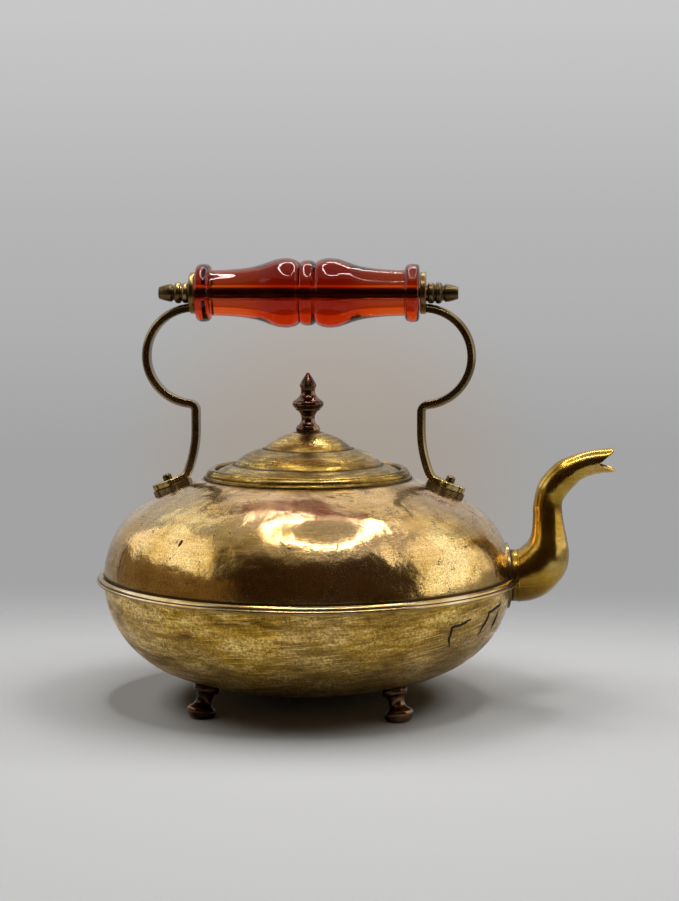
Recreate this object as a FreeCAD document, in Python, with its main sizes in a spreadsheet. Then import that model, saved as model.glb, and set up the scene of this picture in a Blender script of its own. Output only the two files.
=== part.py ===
import FreeCAD, Part
import os
import re
import Sketcher

# A squat brass tea kettle: two spun halves folded together at a seam, a lift-off lid,
# a swan-neck spout, and a turned glass grip on a rod between two riveted straps.
# The origin is on the body's axis where the feet stand, +Z is up and +X points to the spout.

# Driving sizes in millimetres, angles in degrees

sizes = {
    # body of two spun halves
    "seam_height": 64.5,
    "shell_radius": 105.2,
    "shell_wall": 1.4,
    "upper_rise": 59.0,
    "bowl_depth": 58.3,
    "seam_width": 3.8,
    "seam_lip": 1.1,
    "fold_reach": 3.2,
    "mouth_radius": 50.0,
    # mouth collar
    "collar_radius": 53.8,
    "collar_wall": 1.4,
    "ledge_rise": 0.9,
    "collar_rise": 2.0,
    "bead_width": 3.6,
    "neck_depth": 5.0,
    # lid
    "lid_radius": 47.3,
    "lid_rise": 20.4,
    "lid_wall": 1.6,
    "lid_gap": 0.6,
    "brim_edge": 1.4,
    "sleeve_radius": 42.0,
    "sleeve_wall": 1.2,
    "sleeve_depth": 8.0,
    "sleeve_fit": 0.08,
    "finial_height": 30.4,
    "finial_radius": 8.1,
    # studs, washers and nuts
    "stud_radius": 2.0,
    "stud_length": 8.0,
    "washer_radius": 4.6,
    "washer_thickness": 1.0,
    "nut_radius": 4.2,
    "nut_thickness": 3.2,
    # spout
    "spout_lift": 0.8,
    "spout_reach": 48.0,
    "spout_rise": 60.0,
    "spout_radius": 13.6,
    "spout_wall": 1.4,
    "beak_depth": 8.0,
    "beak_opening": 11.4,
    "plate_radius": 17.0,
    "plate_thickness": 1.2,
    "ring_radius": 13.5,
    "ring_length": 2.2,
    # grip and its rod
    "grip_length": 114.4,
    "grip_radius": 17.8,
    "rod_radius": 2.6,
    "thread_length": 7.0,
    "grip_fit": 0.08,
    "end_play": 0.3,
    "cap_length": 16.4,
    "cap_radius": 5.4,
    # straps
    "eye_radius": 10.7,
    "eye_thickness": 3.0,
    "eye_drop": 7.5,
    "bar_thickness": 3.9,
    "bar_width": 9.0,
    "curl_radius": 24.9,
    "corner_radius": 3.2,
    "upright_length": 16.1,
    "upright_lean": 13.0,
    "lean_radius": 60.0,
    "bend_radius": 7.0,
    "palm_run": 12.6,
    "palm_length": 20.0,
    "palm_width": 14.0,
    "palm_thickness": 3.6,
    "palm_relief": 2.5,
    "pad_thickness": 1.8,
    "pad_margin": 0.7,
    "rivet_radius": 2.0,
    "rivet_head_radius": 2.4,
    "rivet_head_height": 3.0,
    "burr_radius": 4.0,
    "burr_thickness": 0.9,
    "tail_radius": 2.9,
    "tail_height": 1.1,
    # feet
    "foot_azimuth": 45.0,
    "foot_radius": 7.3,
    "foot_overshoot": 1.0,
    # still fits and cuts
    "press_gap": 0.05,
    "overrun": 12.0,
}

# Shares that shape the two halves and place the palms and feet on them

shoulder_share = 0.746
bilge_share = 0.858
palm_share = 0.335
foot_circle_share = 0.944

# Sizes that follow from the driving ones

derived = {
    # each half is an arc near the seam that runs tangent into a ball-shaped crown or base
    "shoulder_radius": f"upper_rise * {shoulder_share}",
    "bilge_radius": f"bowl_depth * {bilge_share}",
    "shoulder_ball": "((shell_radius - shoulder_radius)^2 + upper_rise^2 - shoulder_radius^2)"
                     " / (2 * (upper_rise - shoulder_radius))",
    "shoulder_center": "seam_height + upper_rise - shoulder_ball",
    "shoulder_stretch": "1 / (shoulder_ball - shoulder_radius)",
    "bowl_ball": "((shell_radius - bilge_radius)^2 + bowl_depth^2 - bilge_radius^2)"
                 " / (2 * (bowl_depth - bilge_radius))",
    "bowl_center": "seam_height - bowl_depth + bowl_ball",
    "bowl_stretch": "1 / (bowl_ball - bilge_radius)",
    "seam_radius": "shell_radius + seam_width",
    "upper_lip_radius": "shell_radius - shoulder_radius + sqrt(shoulder_radius^2 - seam_lip^2)",
    "bowl_lip_radius": "shell_radius - bilge_radius + sqrt(bilge_radius^2 - seam_lip^2)",
    # mouth, collar and lid
    "mouth_edge": "shoulder_center + sqrt(shoulder_ball^2 - mouth_radius^2)",
    "collar_foot": "shoulder_center + sqrt(shoulder_ball^2 - collar_radius^2)",
    "collar_bore": "sleeve_radius + sleeve_fit",
    "collar_inner": "lid_radius + lid_gap",
    "ledge": "mouth_edge + ledge_rise",
    "brim_top": "ledge + brim_edge",
    "crown": "brim_top + lid_rise",
    "stud_hole": "stud_radius + press_gap",
    # spout root
    "spout_height": "seam_height + spout_lift",
    "spout_bore": "spout_radius - spout_wall",
    "spout_root": "shell_radius + plate_thickness + ring_length",
    "spout_tip": "spout_root + spout_reach",
    "spout_top": "spout_height + spout_rise",
    # the palms lie on the shoulder, between the collar and the seam
    "palm_radius": f"collar_radius + (shell_radius - collar_radius) * {palm_share}",
    "palm_slope": "asin(palm_radius / shoulder_ball) / 1deg",
    "palm_tilt": "palm_slope - palm_relief",
    "palm_z": "shoulder_center + sqrt(shoulder_ball^2 - palm_radius^2)",
    "palm_up_x": "sin(palm_tilt * 1deg)",
    "palm_up_z": "cos(palm_tilt * 1deg)",
    # a strap's centreline starts on the palm, bends up, leans in and then stands upright
    "upright_radius": "palm_radius - palm_run",
    "lean_out": "sin(upright_lean * 1deg)",
    "lean_up": "cos(upright_lean * 1deg)",
    "bar_lift": "pad_thickness + bar_thickness / 2",
    "bar_x": "palm_radius + palm_up_x * bar_lift - palm_up_z * palm_length / 4",
    "bar_z": "palm_z + palm_up_z * bar_lift + palm_up_x * palm_length / 4",
    "lean_x": "upright_radius + lean_radius * (1 - lean_up)",
    "bend_x": "lean_x + bend_radius * (lean_up - palm_up_x)",
    "bend_z": "bar_z + (bar_x - bend_x) * palm_up_x / palm_up_z",
    "lean_z": "bend_z + bend_radius * (palm_up_z - lean_out)",
    "upright_z": "lean_z + lean_radius * lean_out",
    # the curl runs from the upright's corner round to the eye, and carries the grip
    "rod_hole": "rod_radius + press_gap",
    "eye_inner": "grip_length / 2 + end_play",
    "eye_outer": "eye_inner + eye_thickness",
    "curl_x": "eye_inner + eye_thickness / 2",
    "corner_x": "upright_radius + corner_radius",
    "corner_z": "upright_z + upright_length",
    "curl_z": "corner_z + sqrt((curl_radius + corner_radius)^2 - (corner_x - curl_x)^2)",
    "curl_turn": "curl_radius / (curl_radius + corner_radius)",
    "curl_top": "curl_z + curl_radius",
    "grip_height": "curl_top + eye_drop",
    # feet stand square to the bowl's ball-shaped base
    "foot_circle": f"(shell_radius - bilge_radius) * bowl_ball * bowl_stretch * {foot_circle_share}",
    "foot_cos": "sqrt(bowl_ball^2 - foot_circle^2) / bowl_ball",
    "foot_lean": "asin(foot_circle / bowl_ball) / 1deg",
    "foot_z": "bowl_center - bowl_ball * foot_cos",
    "foot_length": "foot_z / foot_cos",
    # flat washers rest on their rims inside the hollow walls
    "washer_seat": "bowl_ball - sqrt((bowl_ball - shell_wall)^2 - washer_radius^2) + press_gap",
    "burr_seat": "shell_wall / cos(palm_relief * 1deg) + burr_radius * tan(palm_relief * 1deg)"
                 " + burr_radius^2 / shoulder_ball",
}

# Outlines as shares: radius or half-width first, then height or place along the axis,
# then how far the edge to the next point bows out (minus: in) as a share of its chord

lid_shares = [
    (0.474, 0.590, -0.2),
    (0.495, 0.572, 0.07),
    (0.780, 0.262, 0.0),
    (0.806, 0.185, 0.03),
]
crown_bow_share = 0.07
finial_shares = [
    (0.0, 1.0, 0.22),
    (0.13, 0.974, 0.03),
    (0.545, 0.785, 0.0),
    (0.465, 0.736, 0.0),
    (0.45, 0.695, -0.12),
    (0.65, 0.576, 0.0),
    (0.81, 0.543, 0.14),
    (1.0, 0.473, 0.14),
    (0.79, 0.392, 0.0),
    (0.78, 0.367, -0.14),
    (0.436, 0.248, -0.18),
    (0.70, 0.103, 0.0),
    (0.733, 0.080, 0.15),
    (0.733, 0.0, 0.0),
]
grip_shares = [
    (0.945, 0.055, 0.0),
    (0.845, 0.075, 0.0),
    (0.92, 0.105, 0.12),
    (1.0, 0.205, 0.08),
    (0.86, 0.44, -0.06),
    (0.65, 0.80, -0.04),
    (0.66, 0.845, -0.1),
    (0.79, 0.872, 0.1),
    (0.83, 0.895, 0.0),
    (0.83, 0.975, 0.15),
    (0.79, 1.0, 0.0),
]
cap_shares = [
    (0.78, 0.0, 0.0),
    (0.78, 0.05, 0.25),
    (0.98, 0.14, 0.2),
    (0.80, 0.26, 0.0),
    (0.80, 0.29, 0.25),
    (1.0, 0.38, 0.2),
    (0.80, 0.49, 0.0),
    (0.68, 0.54, 0.0),
    (0.86, 0.60, 0.03),
    (0.60, 0.96, 0.2),
    (0.48, 1.0, 0.0),
]
foot_shares = [
    (0.83, 0.0, 0.1),
    (0.83, 0.19, 0.0),
    (0.70, 0.22, -0.1),
    (0.53, 0.42, -0.12),
    (0.70, 0.62, 0.0),
    (0.76, 0.65, 0.16),
    (1.0, 0.80, 0.16),
]
foot_tip_share = 0.5
palm_shares = [
    (-0.50, 0.64, -0.06),
    (-0.20, 0.84, 0.22),
    (0.08, 0.88, 0.05),
    (0.24, 0.66, -0.15),
    (0.32, 0.62, 0.30),
]
bar_flat_share = 0.18
bar_bow_share = 0.16
head_bow_share = 0.16
head_top_share = 0.6
head_edge_share = 0.6
bead_bow_share = 0.38
beak_shares = (0.2, 0.49, 0.5)

# spout sections: place along the reach and the rise, radius, and slope in degrees
spout_shares = [
    (0.0, 0.0, 1.0, 0.0),
    (0.214, 0.098, 1.088, 34.0),
    (0.321, 0.238, 0.923, 58.0),
    (0.331, 0.373, 0.69, 75.0),
    (0.315, 0.51, 0.585, 86.0),
    (0.308, 0.617, 0.559, 86.0),
    (0.348, 0.745, 0.574, 72.0),
    (0.496, 0.882, 0.577, 50.0),
    (0.613, 0.937, 0.526, 36.0),
    (0.788, 0.98, 0.478, 18.0),
    (1.0, 1.0, 0.441, 5.0),
]

doc = FreeCAD.newDocument("tea_kettle")
sheet = doc.addObject("Spreadsheet::Sheet", "Sizes")
names = set(sizes) | set(derived)


def fill_sheet():
    rows = [(alias, str(value)) for alias, value in sizes.items()]
    rows += [(alias, "=" + formula) for alias, formula in derived.items()]
    for row, (alias, content) in enumerate(rows, start=1):
        sheet.set(f"A{row}", alias)
        sheet.set(f"B{row}", content)
        sheet.setAlias(f"B{row}", alias)
    doc.recompute()


# An expression on the sheet: each size's name gets the sheet's name before it
def bound(text):
    return re.sub(r"[a-z_]\w*", lambda word: ("Sizes." if word[0] in names else "") + word[0], text)


def value(text):
    return float(sheet.evalExpression(bound(text)))


def place(thing, x="0", y="0", z="0", axis="0; 0; 1", angle="0"):
    thing.setExpression("Placement", bound(
        f"placement(vector({x}; {y}; {z}); rotation(vector({axis}); ({angle}) * 1deg))"))
    return thing


# The radius of an edge: given in words, or from its bow and its chord
def edge_radius(start, end, bow):
    if isinstance(bow, str):
        return bow.lstrip("-")
    chord = f"sqrt(({end[0]} - ({start[0]}))^2 + ({end[1]} - ({start[1]}))^2)"
    return f"{chord} * {abs(bow) / 2 + 1 / (8 * abs(bow))}"


# A straight edge or an arc that bows to the left of its way, or to the right for a minus
def edge_shape(start, end, bow):
    first = FreeCAD.Vector(value(start[0]), value(start[1]), 0)
    last = FreeCAD.Vector(value(end[0]), value(end[1]), 0)
    if not bow:
        return Part.LineSegment(first, last)
    along = last - first
    left = FreeCAD.Vector(-along.y, along.x, 0).normalize()
    radius = value(edge_radius(start, end, bow))
    rise = radius - max(0.0, radius ** 2 - along.Length ** 2 / 4) ** 0.5
    turned_right = str(bow).startswith("-")
    middle = (first + last) / 2 + left * (-rise if turned_right else rise)
    return Part.Arc(first, middle, last)


# A sketch through points that are each tied to the sheet
def draw(body, plane, outline, closed=True):
    sketch = body.newObject("Sketcher::SketchObject", "Outline")
    support = [face for face in body.Origin.OriginFeatures if face.Role == plane]
    sketch.AttachmentSupport = [(support[0], "")]
    sketch.MapMode = "FlatFace"
    points = [(row[0], row[1]) for row in outline]
    bows = [row[2] if len(row) > 2 else 0 for row in outline]
    count = len(outline) if closed else len(outline) - 1
    ends = []
    for edge in range(count):
        start, end = points[edge], points[(edge + 1) % len(points)]
        index = sketch.addGeometry(edge_shape(start, end, bows[edge]), False)
        wanted = FreeCAD.Vector(value(start[0]), value(start[1]), 0)
        first = sketch.getPoint(index, 1).sub(wanted).Length
        second = sketch.getPoint(index, 2).sub(wanted).Length
        ends.append((1, 2) if first <= second else (2, 1))
    ties = []
    for edge in range(count):
        if closed or edge + 1 < count:
            after = (edge + 1) % count
            sketch.addConstraint(Sketcher.Constraint(
                "Coincident", edge, ends[edge][1], after, ends[after][0]))
        tied = [(edge, ends[edge][0], points[edge])]
        if not closed and edge + 1 == count:
            tied.append((edge, ends[edge][1], points[edge + 1]))
        for geometry, end, (across, up) in tied:
            for kind, rail, text in (("DistanceX", -2, across), ("DistanceY", -1, up)):
                if text == "0":
                    sketch.addConstraint(Sketcher.Constraint("PointOnObject", geometry, end, rail))
                else:
                    ties.append((sketch.addConstraint(Sketcher.Constraint(
                        kind, -1, 1, geometry, end, value(text))), text))
        if bows[edge]:
            text = edge_radius(points[edge], points[(edge + 1) % len(points)], bows[edge])
            ties.append((sketch.addConstraint(Sketcher.Constraint(
                "Radius", edge, value(text))), text))
    for index, text in ties:
        sketch.setExpression(f"Constraints[{index}]", bound(text))
    return sketch


def new_body(label):
    body = doc.addObject("PartDesign::Body", "Body")
    body.Label = label
    return body


# A piece turned about the upright axis of its sketch, or about the level one
def turned(label, outline, axis="V_Axis"):
    body = new_body(label)
    sketch = draw(body, "XZ_Plane", outline)
    spin = body.newObject("PartDesign::Revolution", "Turned")
    spin.Profile = sketch
    spin.ReferenceAxis = (sketch, [axis])
    spin.Angle = 360.0
    sketch.Visibility = False
    body.Tip = spin
    return body


# A flat plate padded up from an outline
def plate(label, plane, outline, thickness, midplane=False):
    body = new_body(label)
    sketch = draw(body, plane, outline)
    pad = body.newObject("PartDesign::Pad", "Thickness")
    pad.Profile = sketch
    pad.setExpression("Length", bound(thickness))
    pad.Midplane = midplane
    body.Tip = pad
    return body


def rod(label, radius, length):
    cylinder = doc.addObject("Part::Cylinder", "Rod")
    cylinder.Label = label
    cylinder.setExpression("Radius", bound(radius))
    cylinder.setExpression("Height", bound(length))
    return cylinder


def cut(label, base, tool):
    result = doc.addObject("Part::Cut", "Cut")
    result.Label = label
    result.Base = base
    result.Tool = tool
    return result


def fuse(label, pieces):
    result = doc.addObject("Part::MultiFuse", "Fused")
    result.Label = label
    result.Shapes = pieces
    return result


def common(label, pieces):
    result = doc.addObject("Part::MultiCommon", "Common")
    result.Label = label
    result.Shapes = pieces
    return result


def group(label, pieces):
    result = doc.addObject("Part::Compound", "Group")
    result.Label = label
    result.Links = pieces
    return result


def mirror(label, source, normal):
    result = doc.addObject("Part::Mirroring", "Mirrored")
    result.Label = label
    result.Source = source
    result.Normal = FreeCAD.Vector(*normal)
    return result


across_x = (1, 0, 0)
across_y = (0, 1, 0)


# The point where a half's seam arc meets its ball, inset by a wall
def joint_point(center, ball, stretch, arc, inset="0"):
    share = f"({ball} - ({inset})) * {stretch}"
    return (f"(shell_radius - {arc}) * {share}", f"{center} + (seam_height - {center}) * {share}")


def shoulder_joint(inset="0"):
    return joint_point("shoulder_center", "shoulder_ball", "shoulder_stretch", "shoulder_radius", inset)


def bowl_joint(inset="0"):
    return joint_point("bowl_center", "bowl_ball", "bowl_stretch", "bilge_radius", inset)


# The body's outer form as one solid, grown by a skin
def belly(label, skin):
    grown = f"-({skin})"
    return turned(label, [
        ("0", f"seam_height + upper_rise + {skin}", f"shoulder_ball + {skin}"),
        (*shoulder_joint(grown), f"shoulder_radius + {skin}"),
        (f"shell_radius + {skin}", "seam_height", f"bilge_radius + {skin}"),
        (*bowl_joint(grown), f"bowl_ball + {skin}"),
        ("0", f"seam_height - bowl_depth - {skin}"),
    ])


def upper_shell_blank():
    hole = "mouth_radius + press_gap"
    return turned("upper_shell_blank", [
        (hole, f"shoulder_center + sqrt(shoulder_ball^2 - ({hole})^2)", "shoulder_ball"),
        (*shoulder_joint(), "shoulder_radius"),
        ("upper_lip_radius", "seam_height + seam_lip"),
        ("seam_radius - seam_lip - press_gap", "seam_height + seam_lip"),
        ("seam_radius - seam_lip - press_gap", "seam_height"),
        ("shell_radius - shell_wall", "seam_height", "-shoulder_radius - shell_wall"),
        (*shoulder_joint("shell_wall"), "-shoulder_ball - shell_wall"),
        (hole, f"shoulder_center + sqrt((shoulder_ball - shell_wall)^2 - ({hole})^2)"),
    ])


# The bowl's rim folds up and over the upper half's flange
def lower_bowl_blank():
    fold = "seam_radius - fold_reach"
    return turned("lower_bowl_blank", [
        ("shell_radius - shell_wall", "seam_height"),
        ("seam_radius - seam_lip", "seam_height"),
        ("seam_radius - seam_lip", "seam_height + seam_lip"),
        (fold, "seam_height + seam_lip"),
        (fold, "seam_height + seam_lip * 2"),
        ("seam_radius", "seam_height + seam_lip * 2"),
        ("seam_radius", "seam_height - seam_lip"),
        ("bowl_lip_radius", "seam_height - seam_lip", "bilge_radius"),
        (*bowl_joint(), "bowl_ball"),
        ("0", "seam_height - bowl_depth"),
        ("0", "seam_height - bowl_depth + shell_wall", "-bowl_ball - shell_wall"),
        (*bowl_joint("shell_wall"), "-bilge_radius - shell_wall"),
    ])


def mouth_collar():
    bead = "ledge + collar_rise"
    return turned("mouth_collar", [
        ("collar_inner", bead, bead_bow_share),
        ("collar_inner + bead_width", bead, -bead_bow_share / 6),
        ("collar_radius", "collar_foot", "-shoulder_ball"),
        ("mouth_radius", "mouth_edge"),
        ("mouth_radius", "ledge - collar_wall"),
        ("collar_bore + collar_wall", "ledge - collar_wall"),
        ("collar_bore + collar_wall", "ledge - neck_depth"),
        ("collar_bore", "ledge - neck_depth"),
        ("collar_bore", "ledge"),
        ("collar_inner", "ledge"),
    ])


# The lid's stepped dome: two bowed tiers above a sloping brim
def lid_dome():
    seat = f"finial_radius * {finial_shares[-1][0]}"
    tiers = [(f"lid_radius * {across}", f"brim_top + lid_rise * {up}", bow)
             for across, up, bow in lid_shares]
    outside = [("stud_hole", "crown"), (seat, "crown", crown_bow_share)] + tiers
    brim = [("lid_radius", "brim_top"), ("lid_radius", "ledge"), ("sleeve_radius - sleeve_wall", "ledge")]
    inside = [(across, f"{up} - lid_wall") for across, up, bow in reversed(tiers)]
    inside += [(seat, "crown - lid_wall"), ("stud_hole", "crown - lid_wall")]
    return turned("lid_dome", outside + brim + inside)


def lid_sleeve():
    return turned("lid_sleeve", [
        ("sleeve_radius - sleeve_wall", "ledge"),
        ("sleeve_radius", "ledge"),
        ("sleeve_radius", "ledge - sleeve_depth"),
        ("sleeve_radius - sleeve_wall", "ledge - sleeve_depth"),
    ])


def lid_finial():
    outline = [("0" if across == 0 else f"finial_radius * {across}", f"crown + finial_height * {up}", bow)
               for across, up, bow in finial_shares]
    return turned("lid_finial", outline + [
        ("stud_radius", "crown"),
        ("stud_radius", "crown - stud_length"),
        ("0", "crown - stud_length"),
    ])


# A washer and a six-sided nut on a stud, below or above a face along its own axis
def washer(label, height):
    return turned(label, [
        ("stud_hole", f"{height} + washer_thickness"),
        ("washer_radius", f"{height} + washer_thickness"),
        ("washer_radius", height),
        ("stud_hole", height),
    ])


def hex_nut(label, position):
    prism = doc.addObject("Part::Prism", "Hexagon")
    prism.Polygon = 6
    prism.setExpression("Circumradius", bound("nut_radius"))
    prism.setExpression("Height", bound("nut_thickness"))
    hole = rod(f"{label}_hole", "stud_hole", "nut_thickness")
    for piece in (prism, hole):
        place(piece, **position)
    return cut(label, prism, hole)


# Spout, its ring and its saddle plate

spout_axis = {"x": "shell_radius - overrun", "z": "spout_height", "axis": "0; 1; 0", "angle": "90"}


def spout_rod(label, radius):
    return place(rod(label, radius, "overrun * 2"), **spout_axis)


def spout_loft(label, rows):
    rings = []
    for x, z, radius, slope in rows:
        ring = doc.addObject("Part::Circle", "Ring")
        ring.setExpression("Radius", bound(radius))
        rings.append(place(ring, x=x, z=z, axis="0; 1; 0", angle=f"90 - {slope}"))
    loft = doc.addObject("Part::Loft", "Spout")
    loft.Label = label
    loft.Sections = rings
    loft.Solid = True
    loft.MaxDegree = 3
    return loft


# The tube's inside runs on past both of its ends
def spout_tube():
    rows = [(f"spout_root + spout_reach * {along}", f"spout_height + spout_rise * {up}",
             f"spout_radius * {girth}", slope) for along, up, girth, slope in spout_shares]
    inner = [(x, z, f"{radius} - spout_wall", slope) for x, z, radius, slope in rows]
    for end, sense in ((0, "-"), (-1, "+")):
        x, z, radius, slope = inner[end]
        beyond = (f"{x} {sense} overrun / 2 * cos({slope}deg)", f"{z} {sense} overrun / 2 * sin({slope}deg)",
                  radius, slope)
        inner = [beyond] + inner if end == 0 else inner + [beyond]
    return cut("spout_tube", spout_loft("spout_outside", rows), spout_loft("spout_inside", inner))


# The mouth is an open beak: a notch cut across the tip
def spout():
    apex_share, high_share, low_share = beak_shares
    notch = plate("beak_notch", "XZ_Plane", [
        ("spout_tip - beak_depth", f"spout_top - beak_opening * {apex_share}"),
        ("spout_tip + beak_depth", f"spout_top - beak_opening * {2 * low_share - apex_share}"),
        ("spout_tip + beak_depth", f"spout_top + beak_opening * {2 * high_share + apex_share}"),
    ], "spout_radius * 2", midplane=True)
    return cut("spout", spout_tube(), notch)


def spout_plate(body_form, plate_form, bore):
    disc = common("spout_plate_blank", [spout_rod("spout_plate_disc", "plate_radius"), plate_form])
    return cut("spout_plate", disc, fuse("spout_plate_bed", [body_form, bore]))


def spout_ring(plate_form, bore):
    length = "spout_root - shell_radius + overrun"
    blank = place(rod("spout_ring_blank", "ring_radius", length), **spout_axis)
    return cut("spout_ring", blank, fuse("spout_ring_bed", [plate_form, bore]))


# Handle: glass grip, rod, end caps and straps

def glass_grip():
    half = [(f"grip_length / 2 * {along}", f"grip_radius * {girth}", bow)
            for girth, along, bow in grip_shares]
    # the near half runs the other way, so each edge takes the bow of the point it came from
    near = [(f"-({along})", girth, half[index - 1][2] if index else 0.0)
            for index, (along, girth, bow) in enumerate(half)][::-1]
    bore = "rod_radius + grip_fit"
    outline = near + half + [("grip_length / 2", bore), ("-grip_length / 2", bore)]
    return place(turned("glass_grip", outline, "H_Axis"), z="grip_height")


def tie_rod():
    reach = "eye_outer + thread_length"
    return place(rod("tie_rod", "rod_radius", f"({reach}) * 2"),
                 x=f"-({reach})", z="grip_height", axis="0; 1; 0", angle="90")


def right_end_nut():
    outline = [(f"eye_outer + cap_length * {along}", f"cap_radius * {girth}", bow)
               for girth, along, bow in cap_shares]
    hole_end = "eye_outer + thread_length + press_gap"
    outline += [("eye_outer + cap_length", "0"), (hole_end, "0")]
    outline += [(hole_end, "rod_hole"), ("eye_outer", "rod_hole")]
    return place(turned("right_end_nut", outline, "H_Axis"), z="grip_height")


# The strap's bar: flat inside, bowed outside, swept from the eye round the curl to the palm
def strap_bar():
    body = new_body("strap_bar")
    turn_x = "curl_x + (corner_x - curl_x) * curl_turn"
    turn_z = "curl_z + (corner_z - curl_z) * curl_turn"
    spine = draw(body, "XZ_Plane", [
        ("eye_inner", "curl_top"),
        ("curl_x", "curl_top", "curl_radius"),
        ("curl_x + curl_radius", "curl_z", "curl_radius"),
        (turn_x, turn_z, "-corner_radius"),
        ("upright_radius", "corner_z"),
        ("upright_radius", "upright_z", "-lean_radius"),
        ("lean_x", "lean_z", "-bend_radius"),
        ("bend_x", "bend_z"),
        ("bar_x", "bar_z"),
    ], closed=False)
    edge = f"bar_thickness / 2 - bar_thickness * {bar_flat_share + bar_bow_share}"
    profile = draw(body, "YZ_Plane", [
        ("-bar_width / 2", "-bar_thickness / 2"),
        ("bar_width / 2", "-bar_thickness / 2"),
        ("bar_width / 2", edge, -bar_bow_share),
        ("-bar_width / 2", edge),
    ])
    profile.setExpression("AttachmentOffset.Base.y", bound("curl_top"))
    profile.setExpression("AttachmentOffset.Base.z", bound("eye_inner"))
    sweep = body.newObject("PartDesign::AdditivePipe", "Swept")
    sweep.Profile = profile
    sweep.Spine = spine
    body.Tip = sweep
    return body


def on_palm(piece, height):
    return place(piece, x=f"palm_radius + palm_up_x * ({height})", z=f"palm_z + palm_up_z * ({height})",
                 axis="0; 1; 0", angle="palm_tilt")


# The palm's lobed outline, grown by a margin
def palm_outline(margin):
    right = [(f"(palm_length + ({margin}) * 2) * {along}", f"(palm_width / 2 + {margin}) * {half}", bow)
             for along, half, bow in palm_shares]
    left = [(along, f"-({half})", right[index - 1][2] if index else 0.0)
            for index, (along, half, bow) in enumerate(right)][::-1]
    return right + left


def right_strap(rivet_hole, rod_bore):
    palm = on_palm(plate("palm", "XY_Plane", palm_outline("0"), "palm_thickness"), "pad_thickness")
    eye = place(rod("eye", "eye_radius", "eye_thickness"),
                x="eye_inner", z="grip_height", axis="0; 1; 0", angle="90")
    return cut("right_strap", fuse("strap_blank", [strap_bar(), palm, eye]),
               group("strap_holes", [rivet_hole, rod_bore]))


# The pad fills the wedge between the palm and the shoulder
def right_strap_pad(body_form, rivet_hole):
    depth = "palm_thickness"
    blank = on_palm(plate("pad_blank", "XY_Plane", palm_outline("pad_margin"), f"pad_thickness + {depth}"),
                    f"-({depth})")
    return cut("right_strap_pad", cut("pad_bedded", blank, body_form), rivet_hole)


def rivet_parts():
    head = "pad_thickness + palm_thickness"
    seat = "-burr_seat"
    tail = f"{seat} - burr_thickness"
    rivet = turned("right_rivet", [
        ("0", f"{head} + rivet_head_height"),
        (f"rivet_head_radius * {head_top_share}", f"{head} + rivet_head_height", head_bow_share),
        ("rivet_head_radius", f"{head} + rivet_head_height * {head_edge_share}"),
        ("rivet_head_radius", head),
        ("rivet_radius", head),
        ("rivet_radius", tail),
        ("tail_radius", tail),
        (f"tail_radius * {head_top_share}", f"{tail} - tail_height"),
        ("0", f"{tail} - tail_height"),
    ])
    burr = turned("right_burr", [
        ("rivet_radius + press_gap", seat),
        ("burr_radius", seat),
        ("burr_radius", tail),
        ("rivet_radius + press_gap", tail),
    ])
    return on_palm(rivet, "0"), on_palm(burr, "0")


# Feet: turned, square to the bowl, cut level where they stand

# A place along the foot's own axis, measured inwards from the bowl's outside
def foot_place(height):
    inward = f"(foot_circle - foot_circle / bowl_ball * ({height}))"
    return {
        "x": f"{inward} * cos(foot_azimuth * 1deg)",
        "y": f"{inward} * sin(foot_azimuth * 1deg)",
        "z": f"foot_z + foot_cos * ({height})",
        "axis": "sin(foot_azimuth * 1deg); -cos(foot_azimuth * 1deg); 0",
        "angle": "foot_lean",
    }


def on_foot(piece, height="0"):
    return place(piece, **foot_place(height))


def foot():
    outline = [("0", "stud_length"), ("stud_radius", "stud_length"), ("stud_radius", "0")]
    outline += [(f"foot_radius * {girth}", f"-foot_length * {down}" if down else "0", bow)
                for girth, down, bow in foot_shares]
    outline += [(f"foot_radius * {foot_tip_share}", "-foot_length - foot_overshoot"),
                ("0", "-foot_length - foot_overshoot")]
    floor = doc.addObject("Part::Box", "Floor")
    for side in ("Length", "Width"):
        floor.setExpression(side, bound("seam_radius * 2"))
    floor.setExpression("Height", bound("overrun"))
    place(floor, x="-seam_radius", y="-seam_radius", z="-overrun")
    return cut("foot_back_right", on_foot(turned("foot_blank", outline)), floor)


# One piece and its mirror images at the other three feet
def four(label, piece):
    pair = group(f"{label}_pair", [piece, mirror(f"{label}_front", piece, across_y)])
    return group(label, [pair, mirror(f"{label}_left", pair, across_x)])


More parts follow.
